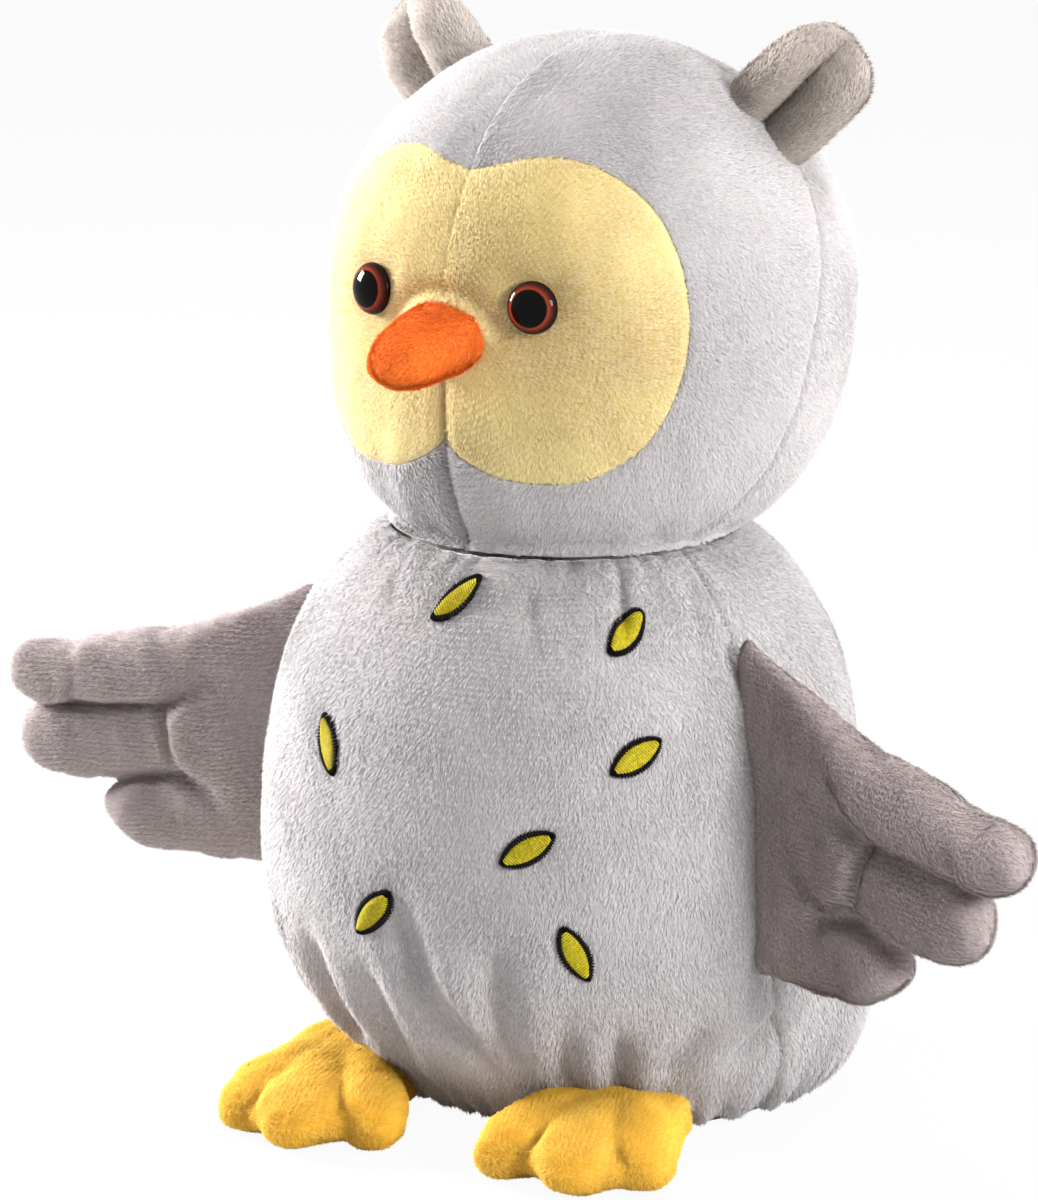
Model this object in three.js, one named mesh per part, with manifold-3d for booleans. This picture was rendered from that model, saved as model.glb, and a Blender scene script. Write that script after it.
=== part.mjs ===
// A plush owl: sewn panels round stuffed forms, with a head that turns at the neck seam,
// wings that swing and ears that fold at the seams that hold them.
// Millimetres, +Z up. The owl faces -Y, its left side is +X, and its base rests on the origin.
import * as THREE from "three";
import { mergeVertices } from "three/addons/utils/BufferGeometryUtils.js";
import Module from "manifold-3d";

const wasm = await Module();
wasm.setup();

// Cloth and clearances
const plushThickness = 1.6;
const seamGap = 0.3;
const floorFlat = 0.5;

// Body, a pear whose belly hangs forward over the feet
const bodyHeight = 140;
const bodyRadius = 71.5;
const bellyForward = 21;
const bodySeamAngle = 74;
const bodyProfileShares = [
  [0, 0.69],
  [0.03, 0.785],
  [0.08, 0.865],
  [0.16, 0.935],
  [0.27, 0.985],
  [0.4, 1],
  [0.57, 0.985],
  [0.7, 0.95],
  [0.79, 0.9],
  [0.87, 0.825],
  [0.93, 0.74],
  [0.97, 0.66],
  [1, 0.58],
];
const bodyLeanShares = [
  [0, 0],
  [0.08, 0.15],
  [0.2, 0.5],
  [0.33, 0.85],
  [0.5, 1],
  [1, 1],
];

// Head, a ball that is fuller below than above
const headRadius = 61.5;
const headRiseShare = 0.8943;
const headForward = 9.5;
const headLowerFullness = 2.7;
const headUpperShare = 0.93;
const jawForwardShare = 0.19;
const sideSeamLeanShare = 0.22;
const faceShares = [
  [-90, 0.43],
  [-75, 0.53],
  [-60, 0.635],
  [-45, 0.73],
  [-30, 0.785],
  [0, 0.81],
  [30, 0.795],
  [50, 0.74],
  [65, 0.665],
  [78, 0.58],
  [90, 0.545],
];

// Ears, cupped leaves caught in the side seam
const earPlaceAngle = 43;
const earRootWidth = 22;
const earHeight = 27;
const earCup = 6;
const earFoldAngle = 20;
const earWidthShares = [
  [0, 1],
  [0.3, 1.02],
  [0.6, 0.93],
  [0.8, 0.74],
  [0.93, 0.48],
  [1, 0.2],
];

// Beak, a blunt stuffed cone that droops
const beakLength = 19;
const beakRootWidth = 24;
const beakRootHeight = 20;
const beakDroopAngle = 12;
const beakFallAngle = 4;

// Eyes with a shank through the face and a washer behind it
const eyeDiameter = 12;
const eyeDome = 5;
const eyeSideAngle = 20.8;
const eyeRiseAngle = 4;
const shankDiameter = 3.6;
const shankLength = 11;
const washerDiameter = 15;
const washerThickness = 1.4;

// Wings with three stitched feathers
const wingLength = 81;
const wingRootHeight = 82;
const wingHalfThickness = 8;
const wingSweepAngle = 10;
const wingLiftAngles = { left: -3, right: 3 };
const wingSwingBack = -35;
const wingSwingForward = 45;
const featherShares = [
  { from: [-0.13, 0.27], to: [1, 0.09], root: 0.22, tip: 0.105 },
  { from: [-0.09, -0.02], to: [0.91, -0.12], root: 0.15, tip: 0.093 },
  { from: [-0.06, -0.27], to: [0.61, -0.32], root: 0.16, tip: 0.1 },
];
const palmShares = { from: [-0.13, 0.01], to: [0.5, -0.02], root: 0.455, tip: 0.22 };

// Feet with three toes
const footLength = 52;
const footHalfHeight = 9;
const footOutward = { left: 31, right: 37 };
const footSplayAngles = { left: 6, right: -4 };
const toeTipForward = { left: 93, right: 102 };
const toeShares = [
  { from: [0, 0.2], to: [-0.3, 0.88], root: 0.2, tip: 0.15 },
  { from: [0, 0.2], to: [0, 1], root: 0.2, tip: 0.155 },
  { from: [0, 0.2], to: [0.31, 0.85], root: 0.2, tip: 0.15 },
];
const instepShares = { from: [0, -0.1], to: [0, 0.72], root: 0.28, tip: 0.3 };

// Embroidered flecks on the belly: angle round the body, height, and turn of the long side
const fleckLength = 13;
const fleckWidth = 5;
const fleckThickness = 0.8;
const fleckPlaces = [
  { angle: 5.5, heightShare: 0.94, turn: 35 },
  { angle: 48, heightShare: 0.9, turn: 32 },
  { angle: 47.5, heightShare: 0.716, turn: 28 },
  { angle: -18.5, heightShare: 0.69, turn: -62 },
  { angle: 27, heightShare: 0.571, turn: 30 },
  { angle: -4, heightShare: 0.435, turn: 50 },
  { angle: 35, heightShare: 0.396, turn: -70 },
];

// Pellet bag on the base
const pelletRadius = 27;
const pelletHeight = 16;

const colours = {
  greyPlush: 0xc5bfbf,
  taupePlush: 0x968c8b,
  yellowPlush: 0xeedd92,
  orangePlush: 0xf2792f,
  goldPlush: 0xe9b236,
  fleckThread: 0xcbc42a,
  filling: 0xf4f3ef,
  eyeGlass: 0x3a1a10,
  washerPlastic: 0xe8e6e0,
  pelletCloth: 0xded8cc,
};

const radians = THREE.MathUtils.degToRad;
const fullTurn = radians(360);

// The value at x of a smooth curve through rows of [x, y].
function smoothValue(rows, x) {
  const last = rows.length - 1;
  const at = THREE.MathUtils.clamp(x, rows[0][0], rows[last][0]);
  let i = 0;
  while (i < last - 1 && rows[i + 1][0] < at) {
    i += 1;
  }
  const slope = (k) => {
    const before = rows[Math.max(k - 1, 0)];
    const after = rows[Math.min(k + 1, last)];
    return (after[1] - before[1]) / (after[0] - before[0]);
  };
  const span = rows[i + 1][0] - rows[i][0];
  const t = (at - rows[i][0]) / span;
  const rise = t * t * (3 - 2 * t);
  const start = t * (1 - t) * (1 - t) * span * slope(i);
  const end = t * t * (1 - t) * span * slope(i + 1);
  return rows[i][1] + rise * (rows[i + 1][1] - rows[i][1]) + start - end;
}

// Even steps from 0 to 1.
function steps(count) {
  return Array.from({ length: count + 1 }, (_, i) => i / count);
}

function geometryOf(points, triangles) {
  const geometry = new THREE.BufferGeometry();
  geometry.setAttribute("position", new THREE.Float32BufferAttribute(points.flatMap((p) => p.toArray()), 3));
  geometry.setIndex(triangles);
  return geometry;
}

// A sheet of cloth: point(u, v, inset) gives its outer face at inset 0 and its inner face.
function sheetGeometry(point, columns, rows, thickness) {
  const points = [];
  for (const inset of [0, thickness]) {
    for (const v of steps(rows)) {
      for (const u of steps(columns)) {
        points.push(point(u, v, inset));
      }
    }
  }
  const layer = (columns + 1) * (rows + 1);
  const at = (i, j, inner) => inner * layer + j * (columns + 1) + i;
  const triangles = [];
  const quad = (a, b, c, d) => triangles.push(a, b, c, a, c, d);
  for (let j = 0; j < rows; j += 1) {
    for (let i = 0; i < columns; i += 1) {
      quad(at(i, j, 0), at(i + 1, j, 0), at(i + 1, j + 1, 0), at(i, j + 1, 0));
      quad(at(i, j, 1), at(i, j + 1, 1), at(i + 1, j + 1, 1), at(i + 1, j, 1));
    }
    quad(at(0, j, 0), at(0, j + 1, 0), at(0, j + 1, 1), at(0, j, 1));
    quad(at(columns, j, 0), at(columns, j, 1), at(columns, j + 1, 1), at(columns, j + 1, 0));
  }
  for (let i = 0; i < columns; i += 1) {
    quad(at(i, 0, 0), at(i, 0, 1), at(i + 1, 0, 1), at(i + 1, 0, 0));
    quad(at(i, rows, 0), at(i + 1, rows, 0), at(i + 1, rows, 1), at(i, rows, 1));
  }
  return geometryOf(points, triangles);
}

// A closed form through rings of points, each ring closed and its two ends capped.
// Sides from mirroredFrom on mirror the others, also in how their faces are split.
function loftGeometry(rings, mirroredFrom = Infinity) {
  const sides = rings[0].length;
  const points = rings.flat();
  const triangles = [];
  for (let j = 0; j < rings.length - 1; j += 1) {
    for (let i = 0; i < sides; i += 1) {
      const next = (i + 1) % sides;
      const [a, b] = [j * sides + i, j * sides + next];
      const [c, d] = [b + sides, a + sides];
      triangles.push(...(i < mirroredFrom ? [a, b, c, a, c, d] : [a, b, d, b, c, d]));
    }
  }
  for (const [ring, forward] of [
    [0, false],
    [rings.length - 1, true],
  ]) {
    const centre = new THREE.Vector3();
    rings[ring].forEach((p) => centre.addScaledVector(p, 1 / sides));
    points.push(centre);
    for (let i = 0; i < sides; i += 1) {
      const edge = [ring * sides + i, ring * sides + ((i + 1) % sides)];
      triangles.push(...(forward ? edge : edge.reverse()), points.length - 1);
    }
  }
  return geometryOf(points, triangles);
}

// A geometry as a solid that can be joined and cut, with its faces pointing out.
function solidOf(geometry) {
  const bare = geometry.clone();
  bare.deleteAttribute("normal");
  bare.deleteAttribute("uv");
  const merged = mergeVertices(bare);
  const places = merged.attributes.position;
  const [a, b, c] = [new THREE.Vector3(), new THREE.Vector3(), new THREE.Vector3()];
  const kept = [];
  let volume = 0;
  for (let i = 0; i < merged.index.count; i += 3) {
    const [p, q, r] = merged.index.array.subarray(i, i + 3);
    if (p !== q && q !== r && r !== p) {
      kept.push(p, q, r);
      a.fromBufferAttribute(places, p);
      b.fromBufferAttribute(places, q);
      c.fromBufferAttribute(places, r);
      volume += a.dot(b.cross(c));
    }
  }
  if (volume < 0) {
    kept.reverse();
  }
  return new wasm.Manifold(
    new wasm.Mesh({ numProp: 3, vertProperties: places.array, triVerts: Uint32Array.from(kept) }),
  );
}

function joined(geometries) {
  return geometries.map(solidOf).reduce((all, one) => all.add(one));
}

// A box far larger than the toy on one side of a plane, as a solid.
function halfSpace(matrix) {
  const side = 2 * (2 * bodyHeight + headRadius);
  const box = new THREE.BoxGeometry(side, side, side);
  box.translate(0, 0, side / 2);
  return solidOf(box.applyMatrix4(matrix));
}

function above(height) {
  return halfSpace(new THREE.Matrix4().makeTranslation(0, 0, height));
}

function geometryOfSolid(solid) {
  const { vertProperties, triVerts } = solid.getMesh();
  const geometry = new THREE.BufferGeometry();
  geometry.setAttribute("position", new THREE.BufferAttribute(vertProperties, 3));
  geometry.setIndex(new THREE.BufferAttribute(triVerts, 1));
  return geometry;
}

const owl = new THREE.Group();

function addPiece(name, solid, color, roughness) {
  const material = new THREE.MeshStandardMaterial({ color, roughness, metalness: 0 });
  const mesh = new THREE.Mesh(geometryOfSolid(solid), material);
  mesh.name = name;
  owl.add(mesh);
}

function addPlush(name, solid, color) {
  addPiece(name, solid, color, 0.95);
}

// A matrix that turns by an angle about an axis through a point.
function turnAbout(point, axis, angle) {
  const there = new THREE.Matrix4().makeTranslation(point);
  const back = new THREE.Matrix4().makeTranslation(point.clone().negate());
  return there.multiply(new THREE.Matrix4().makeRotationAxis(axis, angle)).multiply(back);
}

// The room that a form takes up as seen from a piece that turns about an axis through a range.
function reliefFor(geometry, point, axis, angles) {
  return joined(angles.map((angle) => geometry.clone().applyMatrix4(turnAbout(point, axis, -radians(angle)))));
}

// Body

const bodyProfile = bodyProfileShares.map(([height, radius]) => [height * bodyHeight, radius * bodyRadius]);
const bodyLean = bodyLeanShares.map(([height, lean]) => [height * bodyHeight, lean]);

function bodyCentre(height) {
  return -bellyForward * smoothValue(bodyLean, height);
}

// A point of the body's surface; angle 0 is the front and 90 the owl's left.
function bodyPoint(height, angle, inset) {
  const rise = bodyHeight / 100;
  const slope = (smoothValue(bodyProfile, height + rise) - smoothValue(bodyProfile, height - rise)) / (2 * rise);
  const radius = smoothValue(bodyProfile, height) - inset * Math.hypot(1, slope);
  const turn = radians(angle);
  return new THREE.Vector3(radius * Math.sin(turn), bodyCentre(height) - radius * Math.cos(turn), height);
}

// Rows lie closer together near the base and the neck, where the body curves most.
const rowShare = (v) => v - Math.sin(fullTurn * v) / (1.6 * fullTurn);
const panelFoot = plushThickness + seamGap;
const bodyRows = 13;
const frontColumns = 16;
const backColumns = 10;
const seamHalfAngle = THREE.MathUtils.radToDeg(seamGap / (2 * smoothValue(bodyProfile, bodyHeight)));

function panelAngles(from, to, columns) {
  return steps(columns).map((u) => THREE.MathUtils.lerp(from, to, u));
}

function bodyPanel(from, to, columns) {
  const angles = panelAngles(from, to, columns);
  angles[0] += seamHalfAngle;
  angles[columns] -= seamHalfAngle;
  const point = (u, v, inset) => {
    const height = THREE.MathUtils.lerp(panelFoot, bodyHeight, rowShare(v));
    return bodyPoint(height, angles[Math.round(u * columns)], inset);
  };
  return solidOf(sheetGeometry(point, columns, bodyRows, plushThickness));
}

// The whole body at an inset from its surface, with the same columns as its panels.
function bodyForm(inset, foot) {
  const angles = [
    ...panelAngles(-bodySeamAngle, bodySeamAngle, frontColumns),
    ...panelAngles(bodySeamAngle, 180, backColumns).slice(1),
    ...panelAngles(180, 360 - bodySeamAngle, backColumns).slice(1, -1),
  ];
  const heights = steps(bodyRows).map((v) => THREE.MathUtils.lerp(panelFoot, bodyHeight, rowShare(v)));
  heights[0] = foot;
  return loftGeometry(heights.map((height) => angles.map((angle) => bodyPoint(height, angle, inset))));
}

addPlush("body_front", bodyPanel(-bodySeamAngle, bodySeamAngle, frontColumns), colours.greyPlush);
addPlush("body_back_left", bodyPanel(bodySeamAngle, 180, backColumns), colours.greyPlush);
addPlush("body_back_right", bodyPanel(180, 360 - bodySeamAngle, backColumns), colours.greyPlush);

const baseRadius = smoothValue(bodyProfile, 0);
const baseDisc = new THREE.CylinderGeometry(baseRadius, baseRadius, plushThickness, 32);
baseDisc.rotateX(radians(90));
baseDisc.translate(0, 0, plushThickness / 2);
addPlush("body_base", solidOf(baseDisc), colours.greyPlush);

// The bag lies on the base, and the body's filling closes over it.
function pelletForm(growth) {
  const height = pelletHeight - panelFoot;
  const shares = [
    [0.86, 0],
    [1, 0.3],
    [0.9, 0.68],
    [0.55, 0.93],
    [0, 1],
  ];
  const profile = shares.map(([r, h]) => [r > 0 ? r * pelletRadius + growth : 0, panelFoot + h * height + growth]);
  const foot = growth > 0 ? 0 : panelFoot;
  profile[0][1] = foot;
  const points = [[0, foot], ...profile].map(([r, h]) => new THREE.Vector2(r, h));
  const bag = new THREE.LatheGeometry(points, 20);
  return solidOf(bag.rotateX(radians(90)));
}

const bodyFilling = solidOf(bodyForm(plushThickness + seamGap, panelFoot));
addPiece("body_filling", bodyFilling.subtract(pelletForm(seamGap)), colours.filling, 1);
addPiece("pellet_bag", pelletForm(0), colours.pelletCloth, 0.9);

// Each fleck is a lens of satin stitch that lies on the front panel.
fleckPlaces.forEach(({ angle, heightShare, turn }, index) => {
  const height = heightShare * bodyHeight;
  const radius = smoothValue(bodyProfile, height);
  const point = (u, v, inset) => {
    const along = (u - 0.5) * fleckLength;
    const across = (v - 0.5) * fleckWidth * 4 * u * (1 - u);
    const side = along * Math.cos(radians(turn)) - across * Math.sin(radians(turn));
    const up = along * Math.sin(radians(turn)) + across * Math.cos(radians(turn));
    const proud = seamGap + fleckThickness - inset;
    return bodyPoint(height + up, angle + THREE.MathUtils.radToDeg(side / radius), -proud);
  };
  addPiece(`fleck_${index + 1}`, solidOf(sheetGeometry(point, 6, 2, fleckThickness)), colours.fleckThread, 0.5);
});

// Head

const headCentre = new THREE.Vector3(0, -headForward, bodyHeight + headRiseShare * headRadius);

// The point of the head's surface that lies in a direction from its centre.
function headSurface(direction, inset) {
  const below = direction.z < 0;
  const fullness = below ? headLowerFullness : 2;
  const level = Math.hypot(direction.x, direction.y) ** fullness;
  const upright = Math.abs(below ? direction.z : direction.z / headUpperShare) ** fullness;
  const radius = headRadius / (level + upright) ** (1 / fullness);
  const point = direction.clone().multiplyScalar(radius - inset);
  const depthShare = below ? point.z / headRadius : 0;
  point.y -= jawForwardShare * headRadius * depthShare * depthShare;
  return point.add(headCentre);
}

// Front is the angle from straight ahead; round goes from the owl's left at 0 up to the crown at 90.
function headPoint(front, round, inset) {
  const [f, r] = [radians(front), radians(round)];
  return headSurface(new THREE.Vector3(Math.sin(f) * Math.cos(r), -Math.cos(f), Math.sin(f) * Math.sin(r)), inset);
}

// Front angles of the face's edge and of the side seam, in degrees.
function faceEdge(round) {
  return THREE.MathUtils.radToDeg(Math.asin(smoothValue(faceShares, round)));
}

function sideSeam(round) {
  const lean = sideSeamLeanShare * Math.sin(radians(round));
  return 90 + THREE.MathUtils.radToDeg(Math.atan(lean));
}

const headSeamAngle = THREE.MathUtils.radToDeg(seamGap / headRadius);
const headColumns = 14;
const faceZone = { from: () => 0, to: faceEdge, rows: 4 };
const hoodZone = { from: faceEdge, to: sideSeam, rows: 5 };
const backZone = { from: sideSeam, to: () => 180, rows: 6 };

// Half a ring of cloth on one side of the head; the hood and the back start a seam's gap late.
function headPanel(side, { from, to, rows }, startGap) {
  const point = (u, v, inset) => {
    const round = THREE.MathUtils.lerp(-90, 90, u);
    const front = THREE.MathUtils.lerp(from(round), to(round), v) + (v > 0 ? 0 : startGap);
    const place = headPoint(front, round, inset);
    return place.setX(side * Math.max(place.x, seamGap / 2));
  };
  return solidOf(sheetGeometry(point, headColumns, rows, plushThickness));
}

// The whole head at an inset from its surface, with the same rows and columns as its panels.
function headForm(inset) {
  const rings = [];
  for (const { from, to, rows } of [faceZone, hoodZone, backZone]) {
    for (const v of steps(rows).slice(rings.length > 0 ? 1 : 0)) {
      const half = steps(headColumns).map((u) => {
        const round = THREE.MathUtils.lerp(-90, 90, u);
        return headPoint(THREE.MathUtils.lerp(from(round), to(round), v), round, inset);
      });
      const mirrored = half.slice(1, -1).reverse();
      rings.push([...half, ...mirrored.map((point) => new THREE.Vector3(-point.x, point.y, point.z))]);
    }
  }
  return loftGeometry(rings, headColumns);
}

const aboveNeck = above(bodyHeight + seamGap);

// Eyes

const eyeAxis = (side) => {
  const [turn, rise] = [radians(side * eyeSideAngle), radians(eyeRiseAngle)];
  return new THREE.Vector3(Math.sin(turn) * Math.cos(rise), -Math.cos(turn) * Math.cos(rise), Math.sin(rise));
};

// A turned piece whose profile gives radius and height over the face's surface.
function onFace(side, profile, segments) {
  const turned = new THREE.LatheGeometry(profile.map(([r, h]) => new THREE.Vector2(r, h)), segments);
  turned.applyQuaternion(new THREE.Quaternion().setFromUnitVectors(new THREE.Vector3(0, 1, 0), eyeAxis(side)));
  const seat = headSurface(eyeAxis(side), 0);
  return turned.translate(seat.x, seat.y, seat.z);
}

const eyeRadius = eyeDiameter / 2;
const shankRadius = shankDiameter / 2;
const washerRadius = washerDiameter / 2;
const washerDip = headRadius - Math.sqrt(headRadius ** 2 - (washerRadius + plushThickness + seamGap) ** 2);
const washerTop = -(plushThickness + seamGap + washerDip);

function eyeGeometry(side) {
  const domeShares = [
    [1, 0.14],
    [0.95, 0.4],
    [0.8, 0.7],
    [0.55, 0.9],
    [0.28, 0.985],
  ];
  const dome = domeShares.map(([r, h]) => [r * eyeRadius, seamGap + h * eyeDome]);
  const profile = [
    [0, -shankLength],
    [shankRadius, -shankLength],
    [shankRadius, seamGap],
    [eyeRadius - seamGap, seamGap],
    ...dome,
    [0, seamGap + eyeDome],
  ];
  return onFace(side, profile, 16);
}

// The room that the shank and the washer need in the face and in the filling.
function eyeRoom(side) {
  const [shank, washer] = [shankRadius + seamGap, washerRadius + seamGap];
  const profile = [
    [0, -shankLength - seamGap],
    [shank, -shankLength - seamGap],
    [shank, washerTop - washerThickness - seamGap],
    [washer, washerTop - washerThickness - seamGap],
    [washer, eyeDome],
    [0, eyeDome],
  ];
  return onFace(side, profile, 16);
}

function shankRoom(side) {
  const shank = shankRadius + seamGap;
  return onFace(side, [[0, -shankLength], [shank, -shankLength], [shank, eyeDome], [0, eyeDome]], 12);
}

function washerGeometry(side) {
  const bore = shankRadius + seamGap;
  const profile = [
    [bore, washerTop - washerThickness],
    [washerRadius, washerTop - washerThickness],
    [washerRadius, washerTop],
    [bore, washerTop],
    [bore, washerTop - washerThickness],
  ];
  return onFace(side, profile, 16);
}

const sides = { left: 1, right: -1 };
let headFilling = solidOf(headForm(plushThickness + seamGap)).intersect(aboveNeck);

for (const [name, side] of Object.entries(sides)) {
  const face = headPanel(side, faceZone, 0);
  const hood = headPanel(side, hoodZone, headSeamAngle);
  const back = headPanel(side, backZone, headSeamAngle);
  addPlush(`face_${name}`, face.subtract(solidOf(shankRoom(side))), colours.yellowPlush);
  addPlush(`hood_${name}`, hood.intersect(aboveNeck), colours.greyPlush);
  addPlush(`head_back_${name}`, back.intersect(aboveNeck), colours.greyPlush);
  addPiece(`eye_${name}`, solidOf(eyeGeometry(side)), colours.eyeGlass, 0.08);
  addPiece(`eye_washer_${name}`, solidOf(washerGeometry(side)), colours.washerPlastic, 0.5);
  headFilling = headFilling.subtract(solidOf(eyeRoom(side)));
}
addPiece("head_filling", headFilling, colours.filling, 1);

// Beak

// A form along a line from one point to another: its two half sizes follow shares of its length,
// it keeps its root open to a cut, and it closes in a round tip.
function taperedForm(from, to, across, through, halfAcross, halfThrough, sideCount) {
  const roundFrom = 0.72;
  const rings = [0, 0.15, 0.35, roundFrom, 0.86, 0.95, 1].map((share) => {
    const past = Math.max(share - roundFrom, 0) / (1 - roundFrom);
    const close = Math.sqrt(1 - past * past);
    const centre = from.clone().lerp(to, share);
    return steps(sideCount).slice(1).map((u) => {
      const [x, y] = [Math.cos(fullTurn * u), Math.sin(fullTurn * u)];
      return centre
        .clone()
        .addScaledVector(across, x * halfAcross(share) * close)
        .addScaledVector(through, y * halfThrough(share) * close);
    });
  });
  return loftGeometry(rings);
}

const headGrown = headForm(-seamGap);

function beakForm(inset) {
  const droop = radians(beakDroopAngle);
  const ahead = new THREE.Vector3(0, -Math.cos(droop), -Math.sin(droop));
  const through = new THREE.Vector3(0, Math.sin(droop), -Math.cos(droop));
  const seat = headPoint(beakFallAngle, -90, 0);
  const root = seat.clone().addScaledVector(ahead, -beakLength / 2);
  const tip = seat.clone().addScaledVector(ahead, beakLength - inset);
  const halfAcross = (share) => (beakRootWidth / 2) * (1.08 - 0.4 * share) - inset;
  const halfThrough = (share) => (beakRootHeight / 2) * (1.08 - 0.3 * share) - inset;
  return solidOf(taperedForm(root, tip, new THREE.Vector3(1, 0, 0), through, halfAcross, halfThrough, 12));
}

const beakOnFace = beakForm(0).subtract(solidOf(headGrown));
addPlush("beak_skin", beakOnFace.subtract(beakForm(plushThickness)), colours.orangePlush);
const beakInside = beakForm(plushThickness + seamGap).subtract(solidOf(headGrown));
addPiece("beak_filling", beakInside, colours.filling, 1);

// Ears

function earFrame(side) {
  const at = (round) => headPoint(sideSeam(round), round, 0);
  const centre = at(earPlaceAngle);
  const out = centre.clone().sub(headCentre).normalize();
  const across = at(earPlaceAngle + 1).sub(at(earPlaceAngle - 1)).normalize();
  const ahead = new THREE.Vector3().crossVectors(out, across).normalize();
  if (ahead.y > 0) {
    ahead.negate();
  }
  for (const direction of [centre, out, across, ahead]) {
    direction.x *= side;
  }
  return { centre, out, across, ahead };
}

// One layer of an ear: a leaf whose edges come forward, starting a little inside the head.
function earLayer(side, depth) {
  const { centre, out, across, ahead } = earFrame(side);
  const layerStart = -0.12;
  const point = (u, v, inset) => {
    const share = THREE.MathUtils.lerp(layerStart, 1, v);
    const half = (earRootWidth / 2) * smoothValue(earWidthShares, share);
    const sideways = 2 * u - 1;
    const cup = earCup * sideways * sideways - depth + inset;
    return centre
      .clone()
      .addScaledVector(out, share * earHeight)
      .addScaledVector(across, sideways * half)
      .addScaledVector(ahead, cup);
  };
  return solidOf(sheetGeometry(point, 8, 6, plushThickness));
}

for (const [name, side] of Object.entries(sides)) {
  const { centre, across } = earFrame(side);
  const foldAngles = [-earFoldAngle, -earFoldAngle / 2, 0, earFoldAngle / 2, earFoldAngle];
  const room = reliefFor(headGrown, centre, across, foldAngles);
  const back = earLayer(side, plushThickness + seamGap / 2);
  const lining = earLayer(side, -seamGap / 2);
  addPlush(`ear_back_${name}`, back.subtract(room), colours.taupePlush);
  addPlush(`ear_lining_${name}`, lining.subtract(room), colours.taupePlush);
}

// Wings

const bodyGrown = bodyForm(-seamGap, -seamGap);

function wingFrame(name) {
  const side = sides[name];
  const sweep = radians(wingSweepAngle);
  const lift = radians(wingLiftAngles[name]);
  const level = new THREE.Vector3(side * Math.cos(sweep), -Math.sin(sweep), 0);
  const up = new THREE.Vector3(0, 0, 1);
  const out = level.clone().multiplyScalar(Math.cos(lift)).addScaledVector(up, Math.sin(lift));
  const rise = up.clone().multiplyScalar(Math.cos(lift)).addScaledVector(level, -Math.sin(lift));
  const root = bodyPoint(wingRootHeight, side * bodySeamAngle, 0);
  return { root, out, rise, through: new THREE.Vector3().crossVectors(out, rise) };
}

// The hinge line lies along the side seam, just outside the body's bulge between its two ends.
function wingHinge(side) {
  const half = wingLength * palmShares.root;
  const [low, high] = [wingRootHeight - half, wingRootHeight + half].map((z) => bodyPoint(z, side * bodySeamAngle, 0));
  const axis = high.clone().sub(low).normalize();
  const outward = new THREE.Vector3(side, 0, 0);
  const bulges = steps(12).map((share) => {
    const onLine = low.clone().lerp(high, share);
    return bodyPoint(onLine.z, side * bodySeamAngle, 0).sub(onLine).dot(outward);
  });
  return { point: low.addScaledVector(outward, Math.max(...bulges)), axis };
}

function wingForm(name, inset) {
  const { root, out, rise, through } = wingFrame(name);
  const place = ([u, w], shorten) =>
    root
      .clone()
      .addScaledVector(out, u * wingLength - shorten)
      .addScaledVector(rise, w * wingLength);
  const thicknessShares = [
    [0, 0.25],
    [0.12, 0.42],
    [0.25, 0.75],
    [0.42, 0.98],
    [0.8, 1],
    [1, 0.95],
  ];
  const parts = [palmShares, ...featherShares].map((shares, index) => {
    const halfAcross = (s) => wingLength * THREE.MathUtils.lerp(shares.root, shares.tip, s) - inset;
    const full = index === 0 ? 0.88 : 1;
    const halfThrough = (s) => wingHalfThickness * full * smoothValue(thicknessShares, s) - inset;
    return taperedForm(place(shares.from, 0), place(shares.to, inset), rise, through, halfAcross, halfThrough, 8);
  });
  return joined(parts);
}

// Cuts a shell between two forms along a plane, into the layer on each side of it.
function layersOf(shell, point, normal) {
  const layer = (direction) => {
    const facing = new THREE.Quaternion().setFromUnitVectors(new THREE.Vector3(0, 0, 1), direction);
    const start = point.clone().addScaledVector(direction, seamGap / 2);
    return shell.intersect(halfSpace(new THREE.Matrix4().compose(start, facing, new THREE.Vector3(1, 1, 1))));
  };
  return [layer(normal), layer(normal.clone().negate())];
}

for (const [name, side] of Object.entries(sides)) {
  const { root, through } = wingFrame(name);
  const { point, axis } = wingHinge(side);
  const swings = [wingSwingBack, wingSwingBack / 2, 0, wingSwingForward / 2, wingSwingForward];
  const room = reliefFor(bodyGrown, point, axis.clone().multiplyScalar(-side), swings);
  const skin = wingForm(name, 0).subtract(wingForm(name, plushThickness)).subtract(room);
  const facingFront = through.y < 0 ? through : through.clone().negate();
  const [front, back] = layersOf(skin, root, facingFront);
  addPlush(`wing_front_${name}`, front, colours.taupePlush);
  addPlush(`wing_back_${name}`, back, colours.taupePlush);
  addPiece(`wing_filling_${name}`, wingForm(name, plushThickness + seamGap).subtract(room), colours.filling, 1);
}

// Feet

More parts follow.
